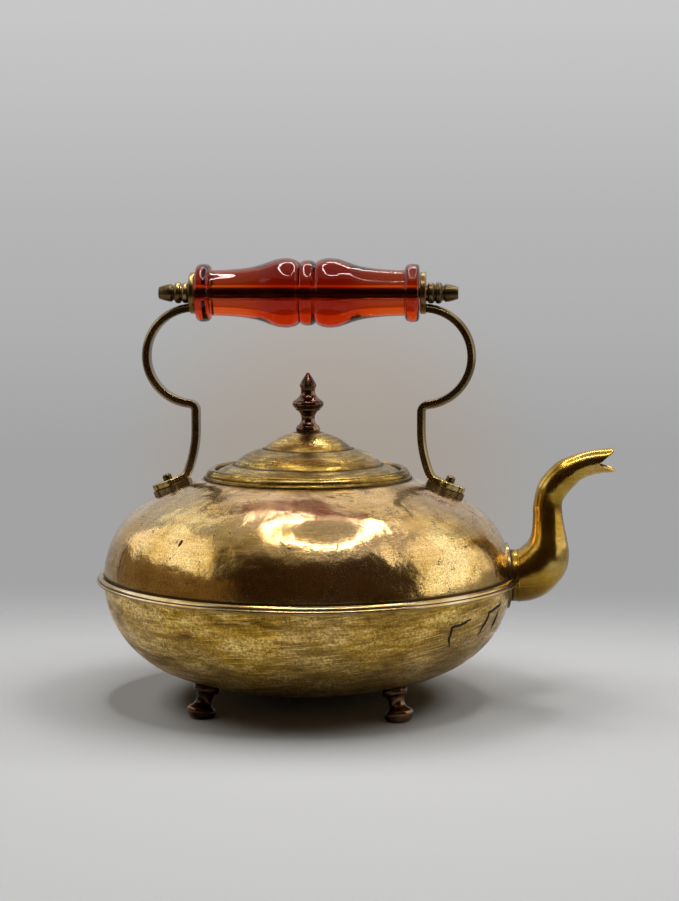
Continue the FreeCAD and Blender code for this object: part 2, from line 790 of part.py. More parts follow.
def build():
    body_form = belly("belly", "0")
    plate_form = belly("belly_skin", "plate_thickness")
    bore = spout_rod("spout_passage", "spout_bore")
    rivet_hole = on_palm(rod("rivet_hole", "rivet_radius + press_gap", "overrun * 2"), "-overrun")
    rod_bore = place(rod("rod_bore", "rod_hole", "eye_outer"), z="grip_height", axis="0; 1; 0", angle="90")
    # the seam's fold is cut away where the spout's plate sits
    notch = cut("seam_notch", spout_rod("seam_notch_rod", "plate_radius + press_gap"), body_form)
    spout_cut = fuse("spout_cut", [notch, bore])
    stud_bores = four("stud_bores", on_foot(rod("stud_bore", "stud_hole", "overrun"), "-overrun / 2"))
    rivet_holes = group("rivet_holes", [rivet_hole, mirror("left_rivet_hole", rivet_hole, across_x)])

    strap = right_strap(rivet_hole, rod_bore)
    pad = right_strap_pad(body_form, rivet_hole)
    rivet, burr = rivet_parts()
    end_nut = right_end_nut()
    back_foot = foot()
    left_foot = mirror("foot_back_left", back_foot, across_x)
    return [
        cut("upper_shell", cut("upper_shell_open", upper_shell_blank(), spout_cut), rivet_holes),
        cut("lower_bowl", cut("lower_bowl_open", lower_bowl_blank(), spout_cut), stud_bores),
        mouth_collar(),
        lid_dome(),
        lid_sleeve(),
        lid_finial(),
        washer("finial_washer", "crown - lid_wall - washer_thickness"),
        hex_nut("finial_nut", {"z": "crown - lid_wall - washer_thickness - nut_thickness"}),
        spout(),
        spout_plate(body_form, plate_form, bore),
        spout_ring(plate_form, bore),
        glass_grip(),
        tie_rod(),
        end_nut,
        mirror("left_end_nut", end_nut, across_x),
        strap,
        mirror("left_strap", strap, across_x),
        pad,
        mirror("left_strap_pad", pad, across_x),
        group("strap_rivets", [rivet, mirror("left_rivet", rivet, across_x)]),
        group("rivet_burrs", [burr, mirror("left_burr", burr, across_x)]),
        back_foot,
        left_foot,
        mirror("foot_front_right", back_foot, across_y),
        mirror("foot_front_left", left_foot, across_y),
        four("foot_washers", on_foot(washer("foot_washer", "washer_seat"))),
        four("foot_nuts", hex_nut("foot_nut", foot_place("washer_seat + washer_thickness"))),
    ]


def check(nodes):
    failed = [thing.Label for thing in doc.Objects if {"Invalid", "Error"} & set(thing.State)]
    failed += [node.Label for node in nodes if node.Shape.isNull() or not node.Shape.isValid()]
    if failed:
        raise RuntimeError("failed objects: " + ", ".join(failed))


fill_sheet()
nodes = build()
doc.recompute()
check(nodes)
os.makedirs("parts", exist_ok=True)
for node in nodes:
    node.Shape.exportStep(f"parts/{node.Label}.step")
    print(node.Label, len(node.Shape.Solids), round(node.Shape.Volume, 1))
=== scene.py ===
import bmesh
import bpy
import math
from mathutils import Matrix, Vector


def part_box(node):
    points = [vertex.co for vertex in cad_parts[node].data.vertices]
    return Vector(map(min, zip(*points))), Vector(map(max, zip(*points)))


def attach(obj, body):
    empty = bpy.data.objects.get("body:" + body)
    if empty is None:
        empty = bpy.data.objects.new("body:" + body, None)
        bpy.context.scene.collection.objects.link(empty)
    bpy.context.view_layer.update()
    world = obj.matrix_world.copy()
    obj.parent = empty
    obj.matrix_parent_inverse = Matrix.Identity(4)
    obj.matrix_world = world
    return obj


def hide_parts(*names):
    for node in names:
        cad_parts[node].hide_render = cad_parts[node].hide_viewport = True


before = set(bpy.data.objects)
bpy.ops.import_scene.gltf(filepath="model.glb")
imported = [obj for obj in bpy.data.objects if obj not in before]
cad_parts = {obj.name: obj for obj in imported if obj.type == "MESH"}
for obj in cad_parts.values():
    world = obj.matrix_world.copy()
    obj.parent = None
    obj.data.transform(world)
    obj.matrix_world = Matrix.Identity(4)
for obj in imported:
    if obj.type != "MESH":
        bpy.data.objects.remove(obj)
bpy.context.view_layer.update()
mm = 0.001
weld = 1e-7  # points closer than this, in metres, are one
scene = bpy.context.scene
scene.view_settings.view_transform = "Standard"
print("frame loaded:", len(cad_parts), "nodes")


def placed(name, data):
    item = bpy.data.objects.new(name, data)
    scene.collection.objects.link(item)
    return item


# camera: level with the grip, a little to the right, looking slightly down
cameraSet = {
    "distance": 0.950, "height": 0.2196, "turn": 5.0, "pitch": 5.44, "yaw": 0.976,
    "focalPixels": 1849.5, "imagePixels": 901, "frameHeight": 36.0, "nearest": 0.01,
}


def buildCamera(s):
    eye = bpy.data.cameras.new("camera")
    eye.sensor_fit = "VERTICAL"
    eye.sensor_height = s["frameHeight"]
    eye.lens = s["focalPixels"] / s["imagePixels"] * eye.sensor_height
    eye.clip_start = s["nearest"]
    camera = placed("camera", eye)
    around = math.radians(s["turn"])
    camera.location = (s["distance"] * math.sin(around), -s["distance"] * math.cos(around), s["height"])
    camera.rotation_euler = (math.radians(90 - s["pitch"]), 0.0, math.radians(s["turn"] - s["yaw"]))
    scene.camera = camera


buildCamera(cameraSet)
print("camera placed")


# one node with its options set and its inputs filled or linked; a tone gets its alpha here
def addNode(tree, kind, inputs=None, **options):
    made = tree.nodes.new(kind)
    for name, value in options.items():
        setattr(made, name, value)
    for key, value in (inputs or {}).items():
        entry = made.inputs[key]
        if isinstance(value, bpy.types.NodeSocket):
            tree.links.new(value, entry)
        else:
            entry.default_value = (*value, 1.0) if entry.type == "RGBA" else value
    return made


def shade(tree, kind, inputs=None, out=0, **options):
    return addNode(tree, "ShaderNode" + kind, inputs, **options).outputs[out]


def shape(tree, kind, inputs=None, out=0, **options):
    return addNode(tree, "GeometryNode" + kind, inputs, **options).outputs[out]


def spread(tree, value, low, high, start=0.0, end=1.0, way="LINEAR"):
    return shade(tree, "MapRange", {0: value, 1: low, 2: high, 3: start, 4: end}, interpolation_type=way)


def figured(tree, first, second, operation, third=0.0):
    return shade(tree, "Math", {0: first, 1: second, 2: third}, operation=operation)


def tinted(tree, share, under, over, blend="MIX"):
    return shade(tree, "Mix", {0: share, 6: under, 7: over}, out=2, data_type="RGBA", blend_type=blend)


# a run of tones along a value: rows of place and tone, or place and grey
def ramped(tree, value, rows):
    made = addNode(tree, "ShaderNodeValToRGB", {0: value})
    bands = made.color_ramp.elements
    while len(bands) < len(rows):
        bands.new(1.0)
    for band, (at, tone) in zip(bands, rows):
        band.position = at
        band.color = (*tone, 1.0) if hasattr(tone, "__len__") else (tone, tone, tone, 1.0)
    return made.outputs["Color"]


# noise whose lumps have a size in mm, one for all ways or one for each
def noiseAt(tree, spot, size, detail=3.0, roughness=0.55, bend=0.0, turn=(0.0, 0.0, 0.0)):
    sizes = size if hasattr(size, "__len__") else (size, size, size)
    drawn = shade(tree, "Mapping", {"Vector": spot, "Rotation": turn, "Scale": [v * mm for v in sizes]},
                  vector_type="TEXTURE")
    return shade(tree, "TexNoise", out="Fac", inputs={
        "Vector": drawn, "Scale": 1.0, "Detail": detail, "Roughness": roughness, "Distortion": bend})


# a material whose nodes come from a builder, which gives what the output takes
def newFinish(name, build, *settings):
    material = bpy.data.materials.new(name)
    material.use_nodes = True
    tree = material.node_tree
    tree.nodes.clear()
    addNode(tree, "ShaderNodeOutputMaterial", build(tree, *settings))
    return material


# stage: a pale table that fades into the wall, a ring light overhead, side lamps for the table alone,
# and soft panels, dark cards and a dark mat that are only met in shiny and clear surfaces
stageSet = {
    "tableTone": (0.463, 0.469, 0.475), "tableSize": 3.0,
    "fade": (0.06, 0.36),  # where the table fades into the wall behind
    "round": (0.55, 1.15),  # and all round, farther out
    "wallStops": [(0.0, 0.36), (0.455, 0.368), (0.4875, 0.43), (0.515, 0.46), (0.57, 0.575), (0.75, 0.52),
                  (1.0, 0.44)],
    # a warm glow on the wall behind the kettle: its way, the cosine where it starts and its tone
    "glowWay": (-0.0745, 0.9911, -0.1105), "glowStart": 0.9925, "glowTone": (1.04, 0.91, 0.79),
    "wallFill": 0.08,  # share of the wall's light that falls on the table
    "lampTone": (1.0, 0.985, 0.965),
    "ringCenter": (0.07, 0.0, 0.76), "ringHalf": (0.235, 0.335), "ringWidth": 0.030, "ringPower": 29.0,
    "ringCount": 72,
    # power and opposite corners
    "panels": {
        "panelLeft": (1.35, (-0.62, -0.42, 0.28), (-0.62, 0.48, 0.86)),
        "panelRight": (1.35, (0.62, -0.30, 0.10), (0.62, 0.42, 0.90)),
        "panelBack": (1.0, (-0.60, 0.30, 0.88), (0.60, 0.75, 0.60)),
    },
    "lamps": {
        "lampLeft": (5.2, (-1.0, -0.8, 1.0), (-1.0, 0.8, 2.0)),
        "lampRight": (5.2, (1.0, -0.8, 1.0), (1.0, 0.8, 2.0)),
    },
    # cards bent round the kettle: radius, middle, half span and soft end in degrees, heights and tone
    "cards": {
        "frontCard": (0.8, -78.0, 72.0, 12.0, 0.03, 1.05, (0.05, 0.027, 0.017)),
        "leftCard": (0.6, -168.0, 50.0, 16.0, 0.0, 0.27, (0.24, 0.16, 0.085)),
    },
    "cardSteps": 48,
    "matFrom": -0.44, "matTo": -1.6, "matHeight": 0.002, "matTone": (0.03, 0.02, 0.014),
    # the rays that pass a piece by
    "ringUnseen": ("camera", "transmission"),
    "shineUnseen": ("camera", "diffuse", "shadow"),
    "lampUnseen": ("camera", "glossy", "transmission", "shadow"),
}


# one value for each point of a mesh
def marked(mesh, layer, values):
    mesh.attributes.new(layer, "FLOAT", "POINT").data.foreach_set("value", values)


def stagePiece(name, corners, faces, finish, unseen=()):
    mesh = bpy.data.meshes.new(name)
    mesh.from_pydata(corners, [], faces)
    mesh.materials.append(finish)
    piece = placed(name, mesh)
    for way in unseen:
        setattr(piece, "visible_" + way, False)
    return piece


# a flat piece between opposite corners, its first edge along X, or along Y where X stays the same
def flatPiece(name, first, last, finish, unseen=()):
    run = 0 if first[0] != last[0] else 1
    second, fourth = list(first), list(last)
    second[run], fourth[run] = last[run], first[run]
    return stagePiece(name, [first, second, last, fourth], [(0, 1, 2, 3)], finish, unseen)


def layerValue(tree, name):
    return shade(tree, "Attribute", out="Fac", attribute_name=name)


# a matt sheet that clears as its share grows
def thinned(tree, share, tone):
    matt = shade(tree, "BsdfDiffuse", {"Color": tone})
    clear = shade(tree, "BsdfTransparent")
    return {"Surface": shade(tree, "MixShader", {0: share, 1: matt, 2: clear})}


def glowNodes(tree, tone, power):
    return {"Surface": shade(tree, "Emission", {"Color": tone, "Strength": power})}


def feltNodes(tree, tone):
    return thinned(tree, layerValue(tree, "thin"), tone)


def paperNodes(tree, s):
    spot = shade(tree, "TexCoord", out="Object")
    back = spread(tree, shade(tree, "SeparateXYZ", {0: spot}, out="Y"), *s["fade"], way="SMOOTHSTEP")
    far = shade(tree, "VectorMath", {0: spot}, out="Value", operation="LENGTH")
    away = spread(tree, far, *s["round"], way="SMOOTHSTEP")
    return thinned(tree, figured(tree, back, away, "MAXIMUM"), s["tableTone"])


def buildWall(s):
    world = bpy.data.worlds.new("studio")
    scene.world = world
    world.use_nodes = True
    tree = world.node_tree
    tree.nodes.clear()
    way = shade(tree, "TexCoord", out="Generated")
    height = spread(tree, shade(tree, "SeparateXYZ", {0: way}, out="Z"), -1.0, 1.0)
    looks = addNode(tree, "ShaderNodeLightPath").outputs
    seen = figured(tree, looks["Is Camera Ray"], looks["Is Glossy Ray"], "MAXIMUM")
    seen = figured(tree, seen, looks["Is Transmission Ray"], "MAXIMUM")
    fill = spread(tree, seen, 0.0, 1.0, s["wallFill"], 1.0)
    aim = shade(tree, "VectorMath", {0: way, 1: s["glowWay"]}, out="Value", operation="DOT_PRODUCT")
    warm = spread(tree, aim, s["glowStart"], 1.0, way="SMOOTHSTEP")
    wall = tinted(tree, warm, ramped(tree, height, s["wallStops"]), s["glowTone"], "MULTIPLY")
    sky = shade(tree, "Background", {"Color": wall, "Strength": fill})
    addNode(tree, "ShaderNodeOutputWorld", {"Surface": sky})


def buildStage(s):
    buildWall(s)
    side = s["tableSize"]
    flatPiece("table", (-side, -side, 0), (side, s["fade"][1], 0), newFinish("tablePaper", paperNodes, s))

    cx, cy, cz = s["ringCenter"]
    halfX, halfY = s["ringHalf"]
    count = s["ringCount"]
    corners = []
    for widen in (-s["ringWidth"] / 2, s["ringWidth"] / 2):
        for k in range(count):
            angle = 2 * math.pi * k / count
            x, y = (halfX + widen) * math.cos(angle), (halfY + widen) * math.sin(angle)
            corners.append((cx + x, cy + y, cz))
    faces = [(k, (k + 1) % count, count + (k + 1) % count, count + k) for k in range(count)]
    ringGlow = newFinish("ringGlow", glowNodes, s["lampTone"], s["ringPower"])
    stagePiece("ringLight", corners, faces, ringGlow, s["ringUnseen"])
    for group, unseen in (("panels", s["shineUnseen"]), ("lamps", s["lampUnseen"])):
        for name, (power, first, last) in s[group].items():
            flatPiece(name, first, last, newFinish(name + "Glow", glowNodes, s["lampTone"], power), unseen)

    steps = s["cardSteps"]
    for name, (radius, middle, span, soft, low, high, tone) in s["cards"].items():
        corners, thins = [], []
        for z in (low, high):
            for step in range(steps + 1):
                aside = -span + 2 * span * step / steps
                angle = math.radians(middle + aside)
                corners.append((radius * math.cos(angle), radius * math.sin(angle), z))
                thins.append(max(0.0, 1 - (span - abs(aside)) / soft))
        faces = [(k, k + 1, steps + 2 + k, steps + 1 + k) for k in range(steps)]
        card = stagePiece(name, corners, faces, newFinish(name + "Felt", feltNodes, tone), s["shineUnseen"])
        marked(card.data, "thin", thins)
    flatPiece("frontMat", (-side, s["matTo"], s["matHeight"]), (side, s["matFrom"], s["matHeight"]),
              newFinish("matFelt", feltNodes, s["matTone"]), s["shineUnseen"])


buildStage(stageSet)
print("stage built")


# finishes: old brass and bronze, each from the same few layers of tarnish, scratches and pits
def metalNodes(tree, s):
    deep, main, worn, blushAndReflection = s["tones"]
    spot = shade(tree, "TexCoord", out="Object")
    cloud = noiseAt(tree, spot, s["cloudSize"], *s["cloudNoise"])
    colour = ramped(tree, cloud, [(0.5 - s["cloudSpan"], deep), (0.5, main), (0.5 + s["cloudSpan"], worn)])

    # a blush of another tone in broad patches, growing with height; where it grows, on the shell's shoulder
    # and the straps, it is partly a painted reflection
    height = shade(tree, "SeparateXYZ", {0: spot}, out="Z")
    risen = spread(tree, height, s["blushAndReflectionFrom"] * mm, s["blushAndReflectionFull"] * mm, 0.0, s["blushShare"])
    patch = spread(tree, noiseAt(tree, spot, s["blushSize"], *s["blushNoise"]), *s["blushPatch"])
    colour = tinted(tree, figured(tree, patch, risen, "MULTIPLY"), colour, blushAndReflection)

    # fine lines rubbed round the piece, and a few longer scratches
    lines = noiseAt(tree, spot, s["lineSize"], *s["lineNoise"])
    rubbed = spread(tree, lines, *s["lineBand"], 1.0 - s["lineShade"], 1.0 + s["lineShade"])
    colour = tinted(tree, 1.0, colour, rubbed, "MULTIPLY")
    stroke = noiseAt(tree, spot, s["scratchSize"], *s["scratchNoise"], s["scratchTurn"])
    scratch = spread(tree, stroke, *s["scratchBand"], 0.0, s["scratchShare"])
    colour = tinted(tree, scratch, colour, worn)

    # grain of light and dark specks, and pits gathered in patches
    grit = noiseAt(tree, spot, s["grainSize"], *s["grainNoise"])
    speck = spread(tree, grit, *s["grainBand"], 1.0 - s["grainShade"], 1.0 + s["grainShade"])
    colour = tinted(tree, spread(tree, cloud, *s["grainCloud"]), colour, speck, "MULTIPLY")
    hole = shade(tree, "TexVoronoi", {"Vector": spot, "Scale": 1 / (s["pitSpacing"] * mm)}, out="Distance")
    flock = noiseAt(tree, spot, s["pitSpacing"] * s["pitFlock"])
    gather = spread(tree, flock, *s["pitGather"], 0.0, s["pitSize"])
    pit = spread(tree, figured(tree, hole, gather, "SUBTRACT"), *s["pitBand"], 1.0, 0.0)

    # grime in pits; the layer of painted shade and dirt, and hollows, darken joints and creases as painted
    # shade with some dirt; and edges rubbed bright
    crease = shade(tree, "NewGeometry", out="Pointiness")
    hollow = spread(tree, crease, *s["hollowBand"], 0.0, s["hollowShade"])
    soilAndShade = figured(tree, grit, s["soilAndShadeGrit"], "MULTIPLY_ADD", layerValue(tree, "soilAndShade"))
    cakedAndShaded = spread(tree, soilAndShade, *s["soilAndShadeBand"], 0.0, s["soilAndShadeStrength"])
    pitted = figured(tree, pit, s["pitShade"], "MULTIPLY")
    dirtAndShade = figured(tree, pitted, figured(tree, hollow, cakedAndShaded, "MAXIMUM"), "MAXIMUM")
    colour = tinted(tree, spread(tree, crease, *s["crestBand"], 0.0, s["edgeShine"]), colour, worn)
    colour = tinted(tree, dirtAndShade, colour, s["grimeAndShade"])

    low, high = s["rough"]
    sheen = spread(tree, figured(tree, cloud, lines, "ADD"), *s["sheenBand"], high, low)
    rough = figured(tree, scratch, s["scratchRough"], "MULTIPLY_ADD", sheen)
    rough = figured(tree, dirtAndShade, s["dirtAndShadeRough"], "MULTIPLY_ADD", rough)

    ripple = noiseAt(tree, spot, s["rippleSize"], *s["rippleNoise"])
    bend = shade(tree, "Bump", {"Distance": s["rippleDepth"] * mm, "Height": ripple})
    for height, depth in ((grit, s["grainDepth"]), (lines, s["lineDepth"]), (pit, -s["pitDepth"])):
        bend = shade(tree, "Bump", {"Distance": abs(depth) * mm, "Height": height, "Normal": bend},
                     invert=depth < 0)
    return {"Surface": shade(tree, "BsdfPrincipled", {
        "Base Color": colour, "Metallic": 1.0, "Roughness": rough, "Normal": bend})}


# what the metals share: sizes and heights in mm, noise as detail, roughness and bend, and the bands of
# a noise in which a layer grows
plainMetal = {
    "cloudSize": 42.0, "cloudNoise": (6.0, 0.62, 0.4), "cloudSpan": 0.18,
    "blushSize": 75.0, "blushNoise": (4.0, 0.55, 0.8), "blushPatch": (0.44, 0.66), "blushShare": 0.5,
    "blushAndReflectionFrom": -2.0, "blushAndReflectionFull": -1.0,
    "lineSize": (17.0, 17.0, 1.1), "lineNoise": (7.0, 0.68, 0.25), "lineBand": (0.42, 0.66),
    "lineShade": 0.12, "lineDepth": 0.012,
    "scratchSize": (30.0, 30.0, 0.8), "scratchNoise": (2.0, 0.5, 0.5), "scratchTurn": (0.05, -0.06, 0.0),
    "scratchBand": (0.60, 0.68), "scratchShare": 0.2, "scratchRough": 0.10,
    "grainSize": 0.7, "grainNoise": (3.0, 0.6), "grainBand": (0.36, 0.64),
    "grainCloud": (0.38, 0.6, 0.35, 1.0), "grainShade": 0.12, "grainDepth": 0.008,
    "pitSpacing": 1.1, "pitFlock": 8, "pitGather": (0.41, 0.66), "pitBand": (-0.06, 0.05), "pitSize": 0.2,
    "pitShade": 0.6, "pitDepth": 0.03,
    # hollows and the layer of painted shade and dirt darken creases and joints with the grime tone: painted
    # shade, with some real dirt; pits take that tone too
    "hollowBand": (0.49, 0.43), "hollowShade": 0.6, "crestBand": (0.515, 0.58), "edgeShine": 0.5,
    "soilAndShadeGrit": 0.9, "soilAndShadeBand": (0.75, 1.15), "soilAndShadeStrength": 0.92, "grimeAndShade": (0.020, 0.011, 0.004),
    "dirtAndShadeRough": 0.25, "sheenBand": (0.75, 1.25),
    "rippleSize": 18.0, "rippleNoise": (3.0, 0.5), "rippleDepth": 0.3,
}
# what sets each apart: its deep, main and worn tones, its blush (partly a painted reflection where it grows
# with height), and its own sizes
metals = {
    "polishedBrass": {
        "tones": [(0.33, 0.185, 0.036), (0.62, 0.395, 0.115), (0.83, 0.61, 0.26), (0.74, 0.485, 0.275)],
        # the pinkish blush up the shoulder: tarnish and the painted reflection of the pale wall behind and
        # above
        "blushShare": 0.95, "blushAndReflectionFrom": 78.0, "blushAndReflectionFull": 104.0, "blushPatch": (0.38, 0.62),
        "rough": (0.10, 0.24), "lineSize": (14.0, 14.0, 1.2), "rippleSize": 14.0, "rippleDepth": 0.6,
        "cloudSpan": 0.17, "grainSize": 0.62, "grainShade": 0.4, "grainDepth": 0.02,
        "pitSpacing": 0.8, "pitSize": 0.44, "pitShade": 0.85, "pitDepth": 0.006},
    "seamBrass": {
        "tones": [(0.30, 0.18, 0.05), (0.50, 0.34, 0.13), (0.84, 0.70, 0.50), (0.42, 0.27, 0.09)],
        "rough": (0.14, 0.26), "lineShade": 0.06, "lineDepth": 0.004, "rippleDepth": 0.2},
    "satinBrass": {
        "tones": [(0.20, 0.105, 0.011), (0.53, 0.31, 0.038), (0.90, 0.62, 0.20), (0.36, 0.245, 0.11)],
        "rough": (0.22, 0.46), "cloudSize": (26.0, 26.0, 7.5), "cloudSpan": 0.16,
        "lineShade": 0.28, "lineDepth": 0.016, "lineSize": (11.0, 11.0, 1.1),
        "scratchSize": (22.0, 22.0, 0.7), "scratchTurn": (0.06, -0.10, 0.0), "scratchShare": 0.8,
        "grainSize": 1.3, "grainShade": 0.5, "grainDepth": 0.035, "pitSpacing": 0.9, "pitSize": 0.4,
        "rippleDepth": 0.35},
    "lidBrass": {
        "tones": [(0.16, 0.092, 0.014), (0.35, 0.218, 0.038), (0.66, 0.46, 0.14), (0.44, 0.265, 0.085)],
        "rough": (0.20, 0.40), "cloudSize": (22.0, 22.0, 9.0), "cloudSpan": 0.14,
        "lineShade": 0.42, "lineDepth": 0.02, "lineSize": (12.0, 12.0, 0.9), "scratchShare": 0.4,
        "grainSize": 1.1, "grainShade": 0.55, "grainDepth": 0.024, "pitSize": 0.3, "rippleDepth": 0.4},
    "spoutBrass": {
        "tones": [(0.17, 0.085, 0.010), (0.40, 0.235, 0.03), (0.56, 0.40, 0.13), (0.26, 0.14, 0.018)],
        "rough": (0.15, 0.27), "lineShade": 0.10, "lineDepth": 0.002, "lineSize": (8.0, 8.0, 2.0),
        "pitSize": 0.12, "pitShade": 0.3, "grainShade": 0.16, "grainDepth": 0.002,
        "rippleSize": 11.0, "rippleDepth": 0.25},
    "strapBrass": {
        "tones": [(0.24, 0.16, 0.05), (0.42, 0.30, 0.115), (0.62, 0.47, 0.22), (0.14, 0.084, 0.030)],
        # the dark blush over the strap above the palms: tarnish and the painted reflection of the dark room
        # in front
        "blushPatch": (0.22, 0.5), "blushShare": 0.86, "blushAndReflectionFrom": 117.0, "blushAndReflectionFull": 126.0,
        "blushSize": 30.0, "rough": (0.24, 0.29), "cloudSize": 18.0, "lineDepth": 0.0, "lineShade": 0.04,
        "lineSize": 6.0, "edgeShine": 0.0, "hollowShade": 0.0, "grainShade": 0.0, "grainDepth": 0.0,
        "pitShade": 0.0, "pitDepth": 0.0, "scratchShare": 0.0, "rippleSize": 8.0, "rippleDepth": 0.05},
    "darkBrass": {
        "tones": [(0.045, 0.029, 0.011), (0.125, 0.084, 0.034), (0.36, 0.265, 0.125), (0.085, 0.056, 0.024)],
        "rough": (0.22, 0.40), "cloudSize": 22.0, "lineSize": 6.6, "rippleSize": 7.0, "rippleDepth": 0.12},
    # nearly black, as painted shadow under the palm plates
    "shadedPadBrass": {
        "tones": [(0.020, 0.012, 0.005), (0.15, 0.105, 0.048), (0.30, 0.22, 0.11), (0.08, 0.055, 0.025)],
        "rough": (0.34, 0.52), "cloudSize": 14.0, "lineSize": 4.2},
    "bronze": {
        "tones": [(0.036, 0.016, 0.009), (0.098, 0.050, 0.028), (0.40, 0.24, 0.14), (0.18, 0.068, 0.036)],
        "rough": (0.12, 0.26), "cloudSize": 16.0, "blushSize": 20.0, "lineSize": (6.0, 6.0, 1.4),
        "edgeShine": 0.3, "rippleSize": 7.0, "lineDepth": 0.003, "grainShade": 0.06, "grainDepth": 0.002,
        "pitSize": 0.08, "rippleDepth": 0.06},
    "footBronze": {
        "tones": [(0.020, 0.010, 0.006), (0.040, 0.021, 0.012), (0.34, 0.19, 0.10), (0.11, 0.046, 0.024)],
        "rough": (0.16, 0.30), "cloudSize": 22.0, "blushSize": 26.0, "lineSize": (6.0, 6.0, 1.4),
        "rippleSize": 7.0, "rippleDepth": 0.08},
    "rodSteel": {
        "tones": [(0.020, 0.013, 0.009), (0.045, 0.030, 0.020), (0.10, 0.07, 0.05), (0.06, 0.035, 0.02)],
        "rough": (0.35, 0.55), "cloudSize": 11.0, "lineSize": (1.1, 8.0, 8.0)},
}
finishes = {name: newFinish(name, metalNodes, {**plainMetal, **own}) for name, own in metals.items()}

# amber glass: clear surface, colour from its depth
glassSet = {
    "tint": (1.0, 0.93, 0.86), "gloss": (0.55, 0.42, 0.38), "bending": 1.51,
    "depthTone": (0.877, 0.438, 0.021), "density": 235.0,
    "waveSize": 22.0, "waveDetail": 2.0, "waveDepth": 0.08,
    "smearSize": 6.0, "smearDetail": 5.0, "smearBand": (0.4, 0.7), "rough": 0.015,
}


def glassNodes(tree, s):
    spot = shade(tree, "TexCoord", out="Object")
    swirl = noiseAt(tree, spot, s["waveSize"], s["waveDetail"])
    bend = shade(tree, "Bump", {"Distance": s["waveDepth"] * mm, "Height": swirl})
    smear = noiseAt(tree, spot, s["smearSize"], s["smearDetail"])
    dulled = spread(tree, smear, *s["smearBand"], 0.0, s["rough"])
    skin = shade(tree, "BsdfPrincipled", {
        "Base Color": s["tint"], "Roughness": dulled, "IOR": s["bending"], "Transmission Weight": 1.0,
        "Specular Tint": s["gloss"], "Normal": bend})
    depth = shade(tree, "VolumeAbsorption", {"Color": s["depthTone"], "Density": s["density"]})
    return {"Surface": skin, "Volume": depth}


# dirt in the cracks
dirtSet = {
    "stops": [(0.35, (0.004, 0.003, 0.002)), (0.7, (0.020, 0.011, 0.006))],
    "size": 1.4, "detail": 4.0, "rough": 0.8,
}


def dirtNodes(tree, s):
    spot = shade(tree, "TexCoord", out="Object")
    tone = ramped(tree, noiseAt(tree, spot, s["size"], s["detail"]), s["stops"])
    return {"Surface": shade(tree, "BsdfPrincipled", {"Base Color": tone, "Roughness": s["rough"]})}


finishes["amberGlass"] = newFinish("amberGlass", glassNodes, glassSet)
finishes["crackDirt"] = newFinish("crackDirt", dirtNodes, dirtSet)
print("finishes made")


# profiles are rows of (across, up, bow); bow bends the way to the next row to its left
def traced(rows, steps=10):
    points = []
    for start, end in zip(rows, rows[1:]):
        first = Vector(start[:2])
        chord = Vector(end[:2]) - first
        bow = start[2]
        points.append(first)
        if not bow:
            continue
        half = 2 * math.atan(2 * bow)
        radius = chord.length / (2 * math.sin(half))
        ahead = chord.normalized()
        left = Vector((-ahead.y, ahead.x))
        center = first + chord / 2 - left * radius * math.cos(half)
        for step in range(1, steps):
            angle = -half + 2 * half * step / steps
            points.append(center + (ahead * math.sin(angle) + left * math.cos(angle)) * radius)
    points.append(Vector(rows[-1][:2]))
    return points


# rounds the corners of a profile that turn more than sharp degrees, over a share of each side at most
def eased(points, radius, closed=False, sharp=24.0, share=0.45):
    result = []
    count = len(points)
    for k, point in enumerate(points):
        if not closed and k in (0, count - 1):
            result.append(point)
            continue
        before, after = points[k - 1] - point, points[(k + 1) % count] - point
        if min(before.length, after.length) < 1e-9:
            continue
        turn = math.degrees(math.pi - before.angle(after))
        if turn < sharp:
            result.append(point)
            continue
        reach = min(radius, before.length * share, after.length * share)
        start, end = point + before.normalized() * reach, point + after.normalized() * reach
        result += [start.lerp(point, t).lerp(point.lerp(end, t), t) for t in (0.0, 0.25, 0.5, 0.75, 1.0)]
    return result


# the finished mesh: doubles merged, faces outwards, smooth but for edges past sharp degrees
def smoothed(work, name, sharp=38.0):
    bmesh.ops.remove_doubles(work, verts=work.verts, dist=weld)
    bmesh.ops.recalc_face_normals(work, faces=work.faces)
    for face in work.faces:
        face.smooth = True
    for edge in work.edges:
        edge.smooth = edge.calc_face_angle(0.0) < math.radians(sharp)
    mesh = bpy.data.meshes.new(name)
    work.to_mesh(mesh)
    work.free()
    return mesh


# faces between two rings, either of which may be a single point
def bridged(work, low, high):
    count = max(len(low), len(high))
    for k in range(count):
        after = (k + 1) % count
        corners = [low[k % len(low)], low[after % len(low)], high[after % len(high)], high[k % len(high)]]
        corners = list(dict.fromkeys(corners))
        if len(corners) > 2:
            work.faces.new(corners)


# a profile in mm turned about the upright axis, or about X when it lies level
def turnedForm(work, profile, segments, closed=False, level=False, place=Matrix()):
    rings = []
    for across, up in profile:
        count = 1 if abs(across) < 1e-6 else segments
        ring = []
        for k in range(count):
            angle = 2 * math.pi * k / count
            x, y = across * math.cos(angle), across * math.sin(angle)
            spot = Vector((up, x, y)) if level else Vector((x, y, up))
            ring.append(work.verts.new(place @ (spot * mm)))
        rings.append(ring)
    if closed:
        rings.append(rings[0])
    for low, high in zip(rings, rings[1:]):
        bridged(work, low, high)


def turned(name, profile, segments, **options):
    work = bmesh.new()
    turnedForm(work, profile, segments, **options)
    return smoothed(work, name)


# joins meshes into one, for a piece of several forms
def joined(name, meshes, sharp=38.0, place=Matrix()):
    work = bmesh.new()
    for mesh in meshes:
        work.from_mesh(mesh)
    bmesh.ops.transform(work, matrix=place, verts=work.verts)
    return smoothed(work, name, sharp)


def addPiece(name, mesh, finish, body, slotName, *nodes):
    mesh.materials.clear()
    mesh.materials.append(finishes[finish])
    piece = placed(name, mesh)
    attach(piece, body)
    if nodes:
        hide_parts(*nodes)
    print("piece", name, len(mesh.polygons), "faces")


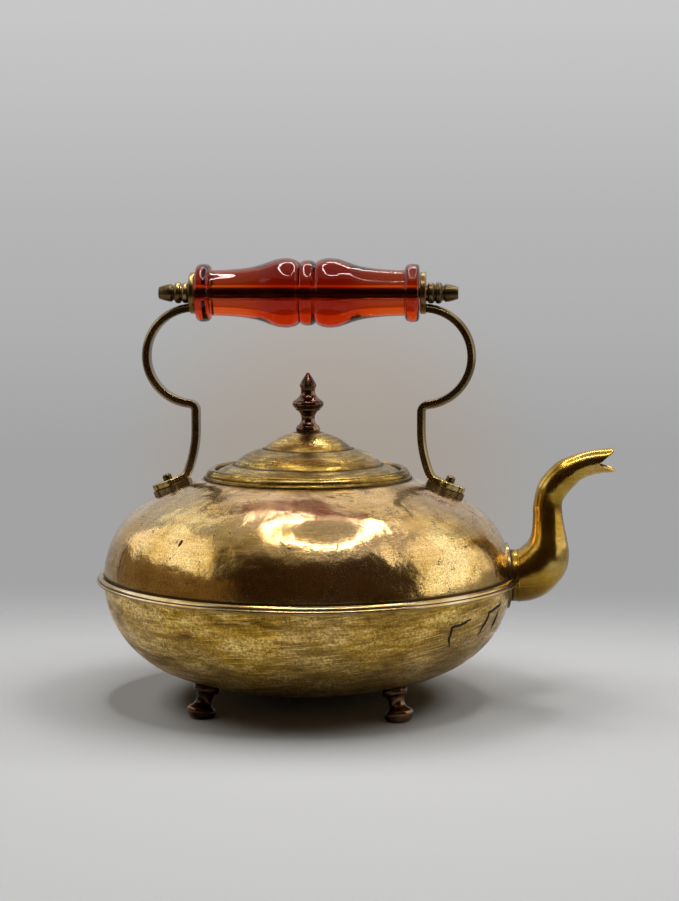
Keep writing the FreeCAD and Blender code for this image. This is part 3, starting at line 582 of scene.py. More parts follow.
# marks where painted shade and dirt lie on a mesh, by a rule on a spot in mm
def soiledAndShaded(mesh, rule):
    marked(mesh, "soilAndShade", [rule(vertex.co / mm) for vertex in mesh.vertices])
    return mesh


def near(value, goal, reach):
    return math.exp(-((value - goal) / reach) ** 2)


# how near a value lies to the nearest of some bands, each a place, its reach and its share
def banded(value, bands):
    return max(share * near(value, at, reach) for at, reach, share in bands)


def fromAxis(spot):
    return math.hypot(spot.x, spot.y)


# the plain mesh of an object with its modifiers worked out; the object itself goes
def plainMesh(name, carrier):
    graph = bpy.context.evaluated_depsgraph_get()
    mesh = bpy.data.meshes.new_from_object(carrier.evaluated_get(graph), depsgraph=graph)
    mesh.name = name
    carrier.modifiers.clear()
    bpy.data.objects.remove(carrier)
    return mesh


# a node tree with named inputs; the builder fills it and gives its last geometry socket
def shapeTree(name, inputs, build):
    tree = bpy.data.node_groups.new(name, "GeometryNodeTree")
    tree.interface.new_socket("Geometry", in_out="INPUT", socket_type="NodeSocketGeometry")
    for label, kind in [*inputs.items(), ("Finish", "Material")]:
        tree.interface.new_socket(label, in_out="INPUT", socket_type="NodeSocket" + kind)
    tree.interface.new_socket("Geometry", in_out="OUTPUT", socket_type="NodeSocketGeometry")
    given = addNode(tree, "NodeGroupInput").outputs
    real = shape(tree, "RealizeInstances", {0: build(tree, given)})
    dressed = shape(tree, "SetMaterial", {"Geometry": real, "Material": given["Finish"]})
    addNode(tree, "NodeGroupOutput", {0: dressed})
    return tree


# the plain mesh that a tree makes from a source mesh
def grown(name, source, tree, finish, values):
    carrier = placed(name + "Source", source)
    modifier = carrier.modifiers.new("shape", "NODES")
    modifier.node_group = tree
    values = {**values, "Finish": finishes[finish]}
    for item in tree.interface.items_tree:
        if item.in_out == "INPUT" and item.name in values:
            modifier[item.identifier] = values[item.name]
    return plainMesh(name, carrier)


def givenLayer(tree, name):
    return shape(tree, "InputNamedAttribute", {"Name": name}, data_type="FLOAT")


# noise dents along the normal and pressed knocks, weighed by the mesh's own give
def dentNodes(tree, given):
    spot = shape(tree, "InputPosition")
    heights = []
    for part in ("Lump", "Dimple"):
        noise = shade(tree, "TexNoise", out="Fac", noise_dimensions="4D", inputs={
            "Vector": spot, "W": given["Seed"], "Scale": given[part + " scale"],
            "Detail": 1.5, "Roughness": 0.45})
        level = figured(tree, noise, 0.5, "SUBTRACT")
        heights.append(figured(tree, level, given[part + " height"], "MULTIPLY"))
    both = figured(tree, figured(tree, *heights, "ADD"), givenLayer(tree, "press"), "ADD")
    depth = figured(tree, both, givenLayer(tree, "give"), "MULTIPLY")
    push = shade(tree, "VectorMath", {0: shape(tree, "InputNormal"), "Scale": depth}, operation="SCALE")
    return shape(tree, "SetPosition", {"Geometry": given["Geometry"], "Offset": push})


dentTree = shapeTree("dentedSheet", {
    "Seed": "Float", "Lump scale": "Float", "Lump height": "Float", "Dimple scale": "Float",
    "Dimple height": "Float"}, dentNodes)


# copies of one form turned round the kettle's axis
def ringNodes(tree, given):
    points = shape(tree, "MeshLine", {"Count": given["Count"], "Offset": (0.0, 0.0, 0.0)})
    step = figured(tree, 2 * math.pi, given["Count"], "DIVIDE")
    angle = figured(tree, shape(tree, "InputIndex"), step, "MULTIPLY_ADD", given["First turn"])
    around = shade(tree, "CombineXYZ", {"Z": angle})
    spun = addNode(tree, "FunctionNodeEulerToRotation", {0: around}).outputs[0]
    return shape(tree, "InstanceOnPoints", {
        "Points": points, "Instance": given["Geometry"], "Rotation": spun})


ringTree = shapeTree("ringOfCopies", {"Count": "Int", "First turn": "Float"}, ringNodes)


# a section swept along a level-sided path
def sweepNodes(tree, given):
    path = shape(tree, "MeshToCurve", {"Mesh": given["Geometry"]})
    steady = shape(tree, "SetCurveNormal", {"Curve": path, "Normal": (0.0, 1.0, 0.0)}, mode="FREE")
    section = shape(tree, "ObjectInfo", {"Object": given["Section"]}, out="Geometry")
    ring = shape(tree, "MeshToCurve", {"Mesh": section})
    return shape(tree, "CurveToMesh", {"Curve": steady, "Profile Curve": ring, "Fill Caps": True})


sweepTree = shapeTree("sweptForm", {"Section": "Object"}, sweepNodes)


# a path through points in mm
def pathMesh(name, points, closed=False):
    mesh = bpy.data.meshes.new(name)
    edges = [(k, k + 1) for k in range(len(points) - 1)]
    if closed:
        edges.append((len(points) - 1, 0))
    mesh.from_pydata([Vector(p) * mm for p in points], edges, [])
    return mesh


def swept(name, points, section, finish):
    outline = pathMesh(name + "Section", [(p.x, p.y, 0.0) for p in section], closed=True)
    ring = placed(name + "Section", outline)
    mesh = grown(name, pathMesh(name, points), sweepTree, finish, {"Section": ring})
    bpy.data.objects.remove(ring)
    return mesh


# body: two spun halves, each an arc near the seam that runs into a flatter ball
bodySet = {
    "seam": 64.5, "radius": 105.2, "wall": 1.4, "upperRise": 59.0, "bowlDepth": 58.3,
    "shoulderShare": 0.746, "bilgeShare": 0.858, "mouth": 50.05, "lip": 1.1, "flangeGap": 0.1,
    "segments": 288, "outerSteps": 34, "innerSteps": 14,
    # folded rim: mm in from the seam's edge, shares of the lip up from the seam, bow
    "rimRoot": 0.5, "rimSteps": 6,
    "rim": [
        (0.55, -1.0, -0.28), (0.0, -0.55, -0.10), (0.75, 0.38, 0.0), (1.2, 0.52, 0.0), (0.85, 0.66, -0.10),
        (1.95, 1.9, -0.2), (2.4, 2.0, 0.0), (2.9, 2.0, 0.0), (3.2, 1.8, 0.0), (3.2, 1.03, 0.0),
        (1.1, 1.03, 0.0), (1.1, 0.0, 0.0)],
    "rimSoilAndShade": [(0.52, 0.3, 1.0), (-1.0, 0.3, 0.8)],  # painted shade and dirt at the fold: share of the lip, reach in mm, share
    "shellDents": {"Seed": 4.7, "Lump scale": 19.0, "Lump height": 4.2 * mm, "Dimple scale": 52.0,
                   "Dimple height": 1.1 * mm},
    "bowlDents": {"Seed": 2.1, "Lump scale": 17.0, "Lump height": 1.6 * mm, "Dimple scale": 60.0,
                  "Dimple height": 0.35 * mm},
    # knocks: angle round the axis, height, reach and depth
    "shellKnocks": [
        (-108.5, 99.0, 6.0, 0.40), (-103.5, 102.0, 5.0, 0.32), (-103.0, 94.0, 5.0, 0.34),
        (-98.5, 97.0, 4.5, 0.24), (-107.0, 87.0, 6.0, 0.42), (-113.5, 83.0, 6.0, 0.36),
        (-110.0, 91.5, 4.0, 0.26), (-60.5, 91.5, 6.0, 0.55), (-56.0, 96.0, 7.0, 0.30),
        (-140.0, 84.0, 9.0, 0.50), (-150.0, 95.0, 8.0, 0.40), (-40.0, 100.0, 9.0, 0.40),
        (-25.0, 92.0, 7.0, 0.35), (60.0, 95.0, 10.0, 0.70), (115.0, 90.0, 9.0, 0.60),
        (85.0, 80.0, 8.0, 0.50), (160.0, 98.0, 8.0, 0.50)],
    "bowlKnocks": [
        (-120.0, 40.0, 12.0, 0.5), (-70.0, 34.0, 14.0, 0.5), (-52.0, 48.0, 7.0, 0.35),
        (70.0, 38.0, 13.0, 0.8), (140.0, 45.0, 10.0, 0.6)],
    # where the sheet starts to give and gives in full, in mm from what is fixed to it or from the axis
    "seamHold": (2.6, 12.0), "spoutHold": (19.0, 34.0), "collarHold": (55.5, 66.0),
    "palmHold": (11.0, 24.0), "footHold": (45.0, 60.0), "footSpan": 0.3,
    # painted shade and dirt at the joints: place, reach and share
    "seamSoilAndShade": [(2.6, 1.1), (-1.5, 0.8)], "collarSoilAndShade": (54.2, 1.0, 0.7),
    "palmSoilAndShade": {"long": 11.0, "wide": 7.2, "reach": 0.1, "share": 0.55, "end": 16.0},
    "footSoilAndShade": {"circle": 65.9, "height": 15.5, "radius": 6.6, "reach": 1.3},
}
palmAt = (71.02, 108.57)  # out from the axis, and up
spoutHeight = 65.3
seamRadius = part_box("lower_bowl")[1].y / mm
spoutAxis = Vector((bodySet["radius"], 0.0, spoutHeight))
palmSpots = [Vector((way * palmAt[0], 0.0, palmAt[1])) for way in (1, -1)]


# a half: its ball's radius, how far the ball's centre lies past the seam, where the two meet, and its arc
def halfOf(radius, rise, share):
    arc = rise * share
    ball = ((radius - arc) ** 2 + rise ** 2 - arc ** 2) / (2 * (rise - arc))
    depth = ball - rise
    return ball, depth, math.atan2(radius - arc, depth), arc


shoulder = halfOf(bodySet["radius"], bodySet["upperRise"], bodySet["shoulderShare"])
bilge = halfOf(bodySet["radius"], bodySet["bowlDepth"], bodySet["bilgeShare"])


# points of one half from its axis end to its lip; way is 1 above the seam and -1 below
def halfCurve(half, way, start, lip, inset, steps):
    ball, depth, meet, arc = half
    points = []
    first = math.asin(min(1.0, start / (ball - inset)))
    for step in range(steps):
        angle = first + (meet - first) * step / steps
        points.append(Vector(((ball - inset) * math.sin(angle), (ball - inset) * math.cos(angle) - depth)))
    last = math.asin(lip / (arc - inset))
    side = bodySet["radius"] - arc
    for step in range(steps + 1):
        angle = math.pi / 2 - meet + (last - math.pi / 2 + meet) * step / steps
        points.append(Vector((side + (arc - inset) * math.cos(angle), (arc - inset) * math.sin(angle))))
    return [Vector((p.x, bodySet["seam"] + way * p.y)) for p in points]


def bodyRadius(z):
    rise = z - bodySet["seam"]
    ball, depth, meet, arc = shoulder if rise >= 0 else bilge
    if abs(rise) > ball * math.cos(meet) - depth:
        return math.sqrt(ball ** 2 - (abs(rise) + depth) ** 2)
    return bodySet["radius"] - arc + math.sqrt(arc ** 2 - rise ** 2)


def onBody(angle, z):
    turn = math.radians(angle)
    return Vector((bodyRadius(z) * math.cos(turn), bodyRadius(z) * math.sin(turn), z))


def grade(value, low, high):
    share = min(1.0, max(0.0, (value - low) / (high - low)))
    return share * share * (3 - 2 * share)


# how far the sheet may give at a spot: not where other pieces sit on it
def giveAt(spot, s):
    give = grade(abs(spot.z - s["seam"]), *s["seamHold"])
    give *= grade((spot - spoutAxis).length, *s["spoutHold"])
    if spot.z > s["seam"]:
        give *= grade(fromAxis(spot), *s["collarHold"])
        for palm in palmSpots:
            give *= grade((spot - palm).length, *s["palmHold"])
    elif abs(abs(math.atan2(spot.y, spot.x)) % (math.pi / 2) - math.pi / 4) < s["footSpan"]:
        give *= grade(fromAxis(spot), *s["footHold"])
    return give


# painted shade and dirt lie along the seam, under the collar and round the palms and the feet
def bodySoilAndShade(spot):
    s = bodySet
    soilsAndShades = [near(spot.z, s["seam"] + up, reach) for up, reach in s["seamSoilAndShade"]]
    if spot.z > s["seam"]:
        across, reach, share = s["collarSoilAndShade"]
        soilsAndShades.append(share * near(fromAxis(spot), across, reach))
    plate = s["palmSoilAndShade"]
    for palm in palmSpots:
        along = math.hypot(spot.x - palm.x, spot.z - palm.z)
        if along < plate["end"]:
            edge = max(along / plate["long"], abs(spot.y) / plate["wide"])
            soilsAndShades.append(plate["share"] * near(edge, 1.0, plate["reach"]))
    stand = s["footSoilAndShade"]
    for k in range(4):
        turn = math.pi / 4 + k * math.pi / 2
        foot = Vector((stand["circle"] * math.cos(turn), stand["circle"] * math.sin(turn), stand["height"]))
        soilsAndShades.append(near((spot - foot).length, stand["radius"], stand["reach"]))
    return max(soilsAndShades)


def sheetHalf(name, profile, dents, knocks, finish, slotName, node):
    mesh = turned(name, profile, bodySet["segments"], closed=True)
    hits = [(onBody(angle, z), reach, depth) for angle, z, reach, depth in knocks]
    gives, presses = [], []
    for vertex in mesh.vertices:
        spot = vertex.co / mm
        inside = fromAxis(spot) < bodyRadius(spot.z) - bodySet["wall"] / 2
        gives.append(giveAt(spot, bodySet) * (-1.0 if inside else 1.0))
        push = sum(depth * near((spot - hit).length, 0.0, reach) for hit, reach, depth in hits)
        presses.append(-mm * push)
    marked(mesh, "give", gives)
    marked(mesh, "press", presses)
    sheet = soiledAndShaded(grown(name, mesh, dentTree, finish, dents), bodySoilAndShade)
    addPiece(name, sheet, finish, "kettle", slotName, node)


def buildBody(s):
    seam, lip = s["seam"], s["lip"]
    up = halfCurve(shoulder, 1, s["mouth"], lip, 0.0, s["outerSteps"])
    inner = halfCurve(shoulder, 1, s["mouth"], 0.0, s["wall"], s["innerSteps"])
    flange = seamRadius - lip - s["flangeGap"]
    edge = [Vector((flange, seam + lip)), Vector((flange, seam))]
    sheetHalf("shellUpper", up + edge + inner[::-1], s["shellDents"], s["shellKnocks"], "polishedBrass",
              "polished_brass", "upper_shell")

    down = halfCurve(bilge, -1, 0.0, lip, 0.0, s["outerSteps"])
    inner = halfCurve(bilge, -1, 0.0, 0.0, s["wall"], s["innerSteps"])
    sheetHalf("bowlLower", down + inner[::-1], s["bowlDents"], s["bowlKnocks"], "satinBrass",
              "satin_brass", "lower_bowl")

    root = down[-1].x - s["rimRoot"]
    rim = [(seamRadius - back, seam + lip * rise, bow) for back, rise, bow in s["rim"]]
    rim = traced([(root, seam - lip, 0.0)] + rim + [(root, seam, 0.0)], s["rimSteps"])
    fold = turned("seamFold", rim, s["segments"], closed=True)
    bands = [(seam + lip * rise, reach, share) for rise, reach, share in s["rimSoilAndShade"]]
    soiledAndShaded(fold, lambda spot: banded(spot.z, bands))
    addPiece("seamFold", fold, "seamBrass", "kettle", "polished_brass")


buildBody(bodySet)
print("body built")

# lid, collar and finial
lidSet = {
    "ledge": 117.17, "edge": 1.4, "rise": 20.4, "radius": 47.3, "wall": 1.6, "bore": 40.8, "seat": 5.94,
    "tiers": [(0.474, 0.590, -0.2), (0.495, 0.572, 0.07), (0.780, 0.262, 0.0), (0.806, 0.185, 0.03)],
    # the rounded brim: mm in from the edge and up from the ledge
    "brim": [(0.2, 1.5), (0.0, 1.2), (0.0, 0.15), (0.4, 0.0)],
    "crownBow": 0.07, "steps": 16, "ease": 0.9, "around": 256,
    "hold": [(6.0, 12.0), (46.8, 44.0)],  # where it starts to give and gives in full, from middle and brim
    "dents": {"Seed": 8.3, "Lump scale": 30.0, "Lump height": 0.8 * mm, "Dimple scale": 90.0,
              "Dimple height": 0.25 * mm},
    # painted shade and dirt in the grooves, as shares of the radius with their reach, and round the seat
    "grooves": [(0.487, 1.0), (0.815, 1.0), (1.0, 0.9)], "seatSoilAndShade": (1.0, 1.3), "soilAndShadeShare": 0.74,
    "collarInner": 47.9, "collarRadius": 53.8, "collarFoot": 115.10, "collarRise": 2.0, "beadWidth": 3.6,
    "collarBore": 42.08, "collarWall": 1.4, "neck": 5.0, "mouth": 50.0, "mouthDrop": 115.07,
    # the groove under the bead: mm in from the collar's edge, up from its foot, bow
    "collarGroove": [(1.35, 1.75, 0.0), (1.1, 1.35, 0.24)],
    "beadBow": 0.38, "slopeBow": 0.16, "collarSteps": 14, "collarEase": 0.25,
    "collarSoilAndShade": [(0.8, 0.6), (1.0, 0.6)],  # reach and share of the painted shade and dirt at its inner and outer edge
    "finialHeight": 30.4, "finialRadius": 8.1, "finialSteps": 12, "finialEase": 0.35, "finialAround": 96,
    "finial": [
        (0.0, 1.0, 0.22), (0.13, 0.974, 0.03), (0.545, 0.785, 0.0), (0.465, 0.736, 0.0), (0.45, 0.695, -0.12),
        (0.65, 0.576, 0.0), (0.81, 0.543, 0.14), (1.0, 0.473, 0.14), (0.79, 0.392, 0.0), (0.78, 0.367, -0.14),
        (0.436, 0.248, -0.18), (0.70, 0.103, 0.0), (0.733, 0.080, 0.15), (0.733, 0.0, 0.0)],
}


def buildLid(s):
    radius, ledge, wall = s["radius"], s["ledge"], s["wall"]
    shoulderZ = ledge + s["edge"]
    crown = shoulderZ + s["rise"]
    tiers = [(radius * across, shoulderZ + s["rise"] * up, bow) for across, up, bow in s["tiers"]]
    rows = [(0.0, crown, 0.0), (s["seat"], crown, s["crownBow"])] + tiers
    rows += [(radius - back, ledge + up, 0.0) for back, up in s["brim"]] + [(s["bore"], ledge, 0.0)]
    rows += [(across, z - wall, 0.0) for across, z, bow in reversed(tiers)]
    rows += [(s["seat"], crown - wall, 0.0), (0.0, crown - wall, 0.0)]
    mesh = turned("lidDome", eased(traced(rows, s["steps"]), s["ease"]), s["around"])
    middle, brim = s["hold"]
    spans = [fromAxis(vertex.co) / mm for vertex in mesh.vertices]
    marked(mesh, "give", [grade(span, *middle) * grade(span, *brim) for span in spans])
    dome = grown("lidDome", mesh, dentTree, "lidBrass", s["dents"])
    gap, reach = s["seatSoilAndShade"]
    grooves = [(radius * across, width) for across, width in s["grooves"]] + [(s["seat"] + gap, reach)]
    grooves = [(at, width, s["soilAndShadeShare"]) for at, width in grooves]
    soiledAndShaded(dome, lambda spot: banded(fromAxis(spot), grooves))
    addPiece("lidDome", dome, "lidBrass", "lid", "lid_brass", "lid_dome")

    width, height = s["finialRadius"], s["finialHeight"]
    rows = [(width * across, crown + height * up, bow) for across, up, bow in s["finial"]]
    line = eased(traced(rows + [(0.0, crown, 0.0)], s["finialSteps"]), s["finialEase"])
    addPiece("lidKnob", turned("lidKnob", line, s["finialAround"]), "bronze", "lid", "bronze", "lid_finial")

    # round the collar: bead, groove, foot, up inside the mouth, then down and up the neck to the ledge
    inner, outer, bore, wall = s["collarInner"], s["collarRadius"], s["collarBore"], s["collarWall"]
    bead = ledge + s["collarRise"]
    neck = ledge - s["neck"]
    rows = [(inner, bead, s["beadBow"]), (inner + s["beadWidth"], bead, s["slopeBow"])]
    rows += [(outer - back, s["collarFoot"] + up, bow) for back, up, bow in s["collarGroove"]]
    rows += [(across, z, 0.0) for across, z in [
        (outer, s["collarFoot"]), (s["mouth"], s["mouthDrop"]), (s["mouth"], ledge - wall),
        (bore + wall, ledge - wall), (bore + wall, neck), (bore, neck), (bore, ledge), (inner, ledge),
        (inner, bead)]]
    ring = eased(traced(rows, s["collarSteps"])[:-1], s["collarEase"], closed=True)
    collar = turned("mouthRing", ring, s["around"], closed=True)
    edges = [(at, *soilAndShade) for at, soilAndShade in zip((inner, outer), s["collarSoilAndShade"])]
    soiledAndShaded(collar, lambda spot: banded(fromAxis(spot), edges))
    addPiece("mouthRing", collar, "lidBrass", "kettle", "polished_brass", "mouth_collar")


buildLid(lidSet)
print("lid built")

# spout: a swan neck with an open beak, and the ring at its root
spoutSet = {
    "root": 108.6, "height": spoutHeight, "reach": 48.0, "rise": 60.0, "radius": 13.6, "wall": 1.4,
    # rings from root to tip, as shares of reach and rise: the inner side of the bend, then the outer side
    "rings": [
        (0.0, 0.230, 0.0, -0.227), (0.044, 0.260, 0.144, -0.210), (0.085, 0.292, 0.285, -0.162),
        (0.115, 0.327, 0.410, -0.072), (0.131, 0.365, 0.510, 0.048), (0.140, 0.408, 0.538, 0.193),
        (0.144, 0.460, 0.512, 0.332), (0.148, 0.520, 0.478, 0.455), (0.150, 0.620, 0.456, 0.605),
        (0.209, 0.808, 0.487, 0.682), (0.391, 0.974, 0.601, 0.790), (0.560, 1.038, 0.666, 0.836),
        (0.762, 1.085, 0.813, 0.880), (0.985, 1.105, 1.015, 0.901)],
    "tuck": (-1.0, -0.4, -1.0, 0.4),  # how the first ring is moved to tuck behind the collar
    "steps": 8, "around": 72,
    # the cut: depth, opening, and shares of it that the throat drops and the lips rise and fall
    "beakDepth": 8.0, "beakOpening": 11.4, "throatDrop": 0.2, "upperLip": 0.49, "lowerLip": 0.5,
    "cutBack": 3.0,  # mm behind the throat where the planes start to cut
    "edgeRound": 0.28, "edgeSegments": 2, "edgeAngle": 50, "tubeSharp": 60.0, "neckSharp": 40.0,
    # the ring's outer side: mm in from its radius and back from the root
    "ringRadius": 13.5, "ringBack": 5.0, "ringRim": [(0.3, 5.0), (0.1, 0.6), (0.4, 0.0)],
    "ringEase": 0.5, "ringAround": 96,
    # painted shade and dirt at the joints: mm back from the root, reach and share
    "neckSoilAndShade": [(1.0, 1.0, 0.6)], "ringSoilAndShade": [(5.0, 1.6, 1.0), (0.0, 0.6, 0.5)],
}


# finer rows between rows of values, in a smooth run through them
def smoothRows(knots, rows, steps):
    def slope(column, k):
        low, high = max(0, k - 1), min(len(knots) - 1, k + 1)
        return (column[high] - column[low]) / (knots[high] - knots[low])

    def between(column, k, t):
        level = column[k] * (2 * t ** 3 - 3 * t ** 2 + 1) + column[k + 1] * (3 * t ** 2 - 2 * t ** 3)
        lean = slope(column, k) * (t ** 3 - 2 * t ** 2 + t) + slope(column, k + 1) * (t ** 3 - t ** 2)
        return level + lean * (knots[k + 1] - knots[k])

    columns = list(zip(*rows))
    result = []
    for k in range(len(knots) - 1):
        for step in range(steps):
            result.append([between(column, k, step / steps) for column in columns])
    return result + [list(rows[-1])]


# cuts the beak by two slanting planes that meet at its throat
def cutBeak(work, tip, s):
    depth, opening, drop = s["beakDepth"], s["beakOpening"], s["throatDrop"]
    throat = Vector((tip.x - depth, 0.0, tip.y - opening * drop)) * mm
    upper = Vector((depth, 0.0, opening * (s["upperLip"] + drop))) * mm
    lower = Vector((depth, 0.0, -opening * (s["lowerLip"] - drop))) * mm
    above = Vector((-upper.z, 0.0, upper.x)).normalized()
    below = Vector((lower.z, 0.0, -lower.x)).normalized()
    bmesh.ops.recalc_face_normals(work, faces=work.faces)
    for plane in (above, below):
        beak = [f for f in work.faces if f.calc_center_median().x > throat.x - s["cutBack"] * mm]
        parts = beak + list({e for f in beak for e in f.edges}) + list({v for f in beak for v in f.verts})
        bmesh.ops.bisect_plane(work, geom=parts, plane_co=throat, plane_no=plane, dist=weld)
    middles = [(f, f.calc_center_median() - throat) for f in work.faces]
    inside = [f for f, middle in middles if middle.dot(above) < 0 and middle.dot(below) < 0]
    bmesh.ops.delete(work, geom=inside, context="FACES")


# painted shade and dirt near the spout's root
def rootSoilAndShade(mesh, root, bands):
    bands = [(root - back, reach, share) for back, reach, share in bands]
    soiledAndShaded(mesh, lambda spot: banded(spot.x, bands))


def buildSpout(s):
    root, back = s["root"], s["ringBack"]
    bases, sizes = (root, s["height"]) * 2, (s["reach"], s["rise"]) * 2
    rows = [[base + size * share for base, size, share in zip(bases, sizes, ring)] for ring in s["rings"]]
    tucked = [value + shift for value, shift in zip(rows[0], s["tuck"])]
    middles = [Vector((row[0] + row[2], row[1] + row[3])) / 2 for row in rows]
    knots = [0.0]
    for start, end in zip(middles, middles[1:]):
        knots.append(knots[-1] + (end - start).length)
    turns = [2 * math.pi * k / s["around"] for k in range(s["around"])]
    work = bmesh.new()
    rings = []
    for innerX, innerZ, outerX, outerZ in [tucked] + smoothRows(knots, rows, s["steps"]):
        middle = Vector((innerX + outerX, 0.0, innerZ + outerZ)) / 2
        half = Vector((innerX - outerX, 0.0, innerZ - outerZ)) / 2
        side = Vector((0.0, half.length, 0.0))
        spots = [middle + half * math.cos(t) + side * math.sin(t) for t in turns]
        rings.append([work.verts.new(spot * mm) for spot in spots])
    for low, high in zip(rings, rings[1:]):
        bridged(work, low, high)
    cutBeak(work, middles[-1], s)

    carrier = placed("spoutSource", smoothed(work, "spoutTube", s["tubeSharp"]))
    thick = carrier.modifiers.new("wall", "SOLIDIFY")
    thick.thickness = s["wall"] * mm
    thick.offset = -1.0
    soft = carrier.modifiers.new("edge", "BEVEL")
    soft.width = s["edgeRound"] * mm
    soft.segments = s["edgeSegments"]
    soft.limit_method = "ANGLE"
    soft.angle_limit = math.radians(s["edgeAngle"])
    neck = joined("spoutNeck", [plainMesh("spoutWall", carrier)], s["neckSharp"])
    rootSoilAndShade(neck, root, s["neckSoilAndShade"])
    addPiece("spoutNeck", neck, "spoutBrass", "kettle", "spout_brass", "spout")

    bore = s["radius"] - s["wall"]
    rows = [Vector((s["ringRadius"] - inset, root - behind)) for inset, behind in s["ringRim"]]
    rows = eased([Vector((bore, root - back))] + rows + [Vector((bore, root))], s["ringEase"], closed=True)
    collar = turned("spoutCollar", rows, s["ringAround"], closed=True, level=True,
                    place=Matrix.Translation((0.0, 0.0, s["height"] * mm)))
    rootSoilAndShade(collar, root, s["ringSoilAndShade"])
    addPiece("spoutCollar", collar, "spoutBrass", "kettle", "spout_brass", "spout_ring")


buildSpout(spoutSet)
print("spout built")

# handle: curled straps with an eye above and a palm below, palm rivets, turned nuts and the glass grip; the
# rod stays the CAD node
gripLow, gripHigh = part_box("glass_grip")
handleSet = {
    "height": (gripLow.z + gripHigh.z) / 2 / mm, "rod": 2.6,
    "eyeInner": 57.5, "eyeThick": 3.0, "eyeRadius": 10.7, "eyeGap": 0.05, "eyeEase": 0.7, "eyeAround": 96,
    "barWidth": 9.0, "barThick": 4.55, "barFlat": 0.18, "barBow": 0.16, "barSteps": 12, "barEase": 0.6,
    "curl": 24.9, "curlSteps": 48, "bendSteps": 10, "corner": 3.2, "upright": 58.42, "uprightLength": 9.15,
    "lean": 22.0, "leanRadius": 60.0, "bend": 7.0, "eyeDrop": 7.5,
    "palmRadius": palmAt[0], "palmZ": palmAt[1], "palmTilt": 21.24, "padThick": 1.8, "palmThick": 3.6,
    "palmLength": 20.0, "palmHalf": 7.0, "noseBow": 0.30, "palmRound": 0.8, "palmSharp": 60,
    "palm": [(-0.50, 0.64, -0.06), (-0.20, 0.84, 0.22), (0.08, 0.88, 0.05), (0.24, 0.66, -0.15),
             (0.32, 0.62, 0.30)],
    "palmSteps": 6, "palmSegments": 4,
    # rivet: share of its radius, share of its height, mm sunk below that, and bow
    "rivetRadius": 2.4, "rivetHeight": 3.0, "rivetSteps": 8, "rivetEase": 0.3, "rivetAround": 40,
    "rivet": [(0.0, 1.0, 0.0, 0.0), (0.6, 1.0, 0.0, 0.16), (1.0, 0.6, 0.0, 0.0), (1.0, 0.0, 0.3, 0.0),
              (0.0, 0.0, 0.3, 0.0)],
    # end nut: girth, along and bow
    "nutLength": 16.4, "nutRadius": 5.4, "nutBore": 0.5, "nutSteps": 8, "nutEase": 0.3, "nutAround": 72,
    "nut": [
        (0.78, 0.0, 0.0), (0.78, 0.05, 0.25), (0.98, 0.14, 0.2), (0.80, 0.26, 0.0), (0.80, 0.29, 0.25),
        (1.0, 0.38, 0.2), (0.80, 0.49, 0.0), (0.68, 0.54, 0.0), (0.86, 0.60, 0.03), (0.60, 0.96, 0.2),
        (0.48, 1.0, 0.0)],
    "gripHalf": 57.2, "gripRadius": 17.8, "bore": 2.68, "gripSteps": 6, "gripEase": 0.5, "gripAround": 160,
    # along and girth: the bead in the middle, the bulb and its taper, the bead at the end
    "grip": [
        [(-0.071, 0.85), (-0.055, 0.90), (-0.03, 0.93), (0.0, 0.94), (0.03, 0.93), (0.055, 0.90),
         (0.071, 0.85)],
        [(0.071, 0.85), (0.085, 0.905), (0.115, 0.955), (0.155, 0.988), (0.204, 1.0), (0.278, 0.969),
         (0.352, 0.893), (0.425, 0.81), (0.52, 0.738), (0.64, 0.687), (0.78, 0.66), (0.864, 0.655)],
        [(0.864, 0.655), (0.872, 0.735), (0.89, 0.80), (0.918, 0.83), (0.945, 0.835), (0.972, 0.822),
         (0.992, 0.78), (1.0, 0.71)]],
}
flip = Matrix.Scale(-1.0, 4, (1.0, 0.0, 0.0))
hands = (("Right", "right", Matrix()), ("Left", "left", flip))  # in a piece's name, in a node's, and where


def arcRun(center, radius, start, end, steps):
    angles = [math.radians(start + (end - start) * k / steps) for k in range(steps + 1)]
    return [(center[0] + radius * math.cos(a), 0.0, center[1] + radius * math.sin(a)) for a in angles]


def onPalm(s, lift):
    tilt = math.radians(s["palmTilt"])
    spot = (s["palmRadius"] + math.sin(tilt) * lift, 0.0, s["palmZ"] + math.cos(tilt) * lift)
    return Matrix.Translation(Vector(spot) * mm) @ Matrix.Rotation(tilt, 4, "Y")


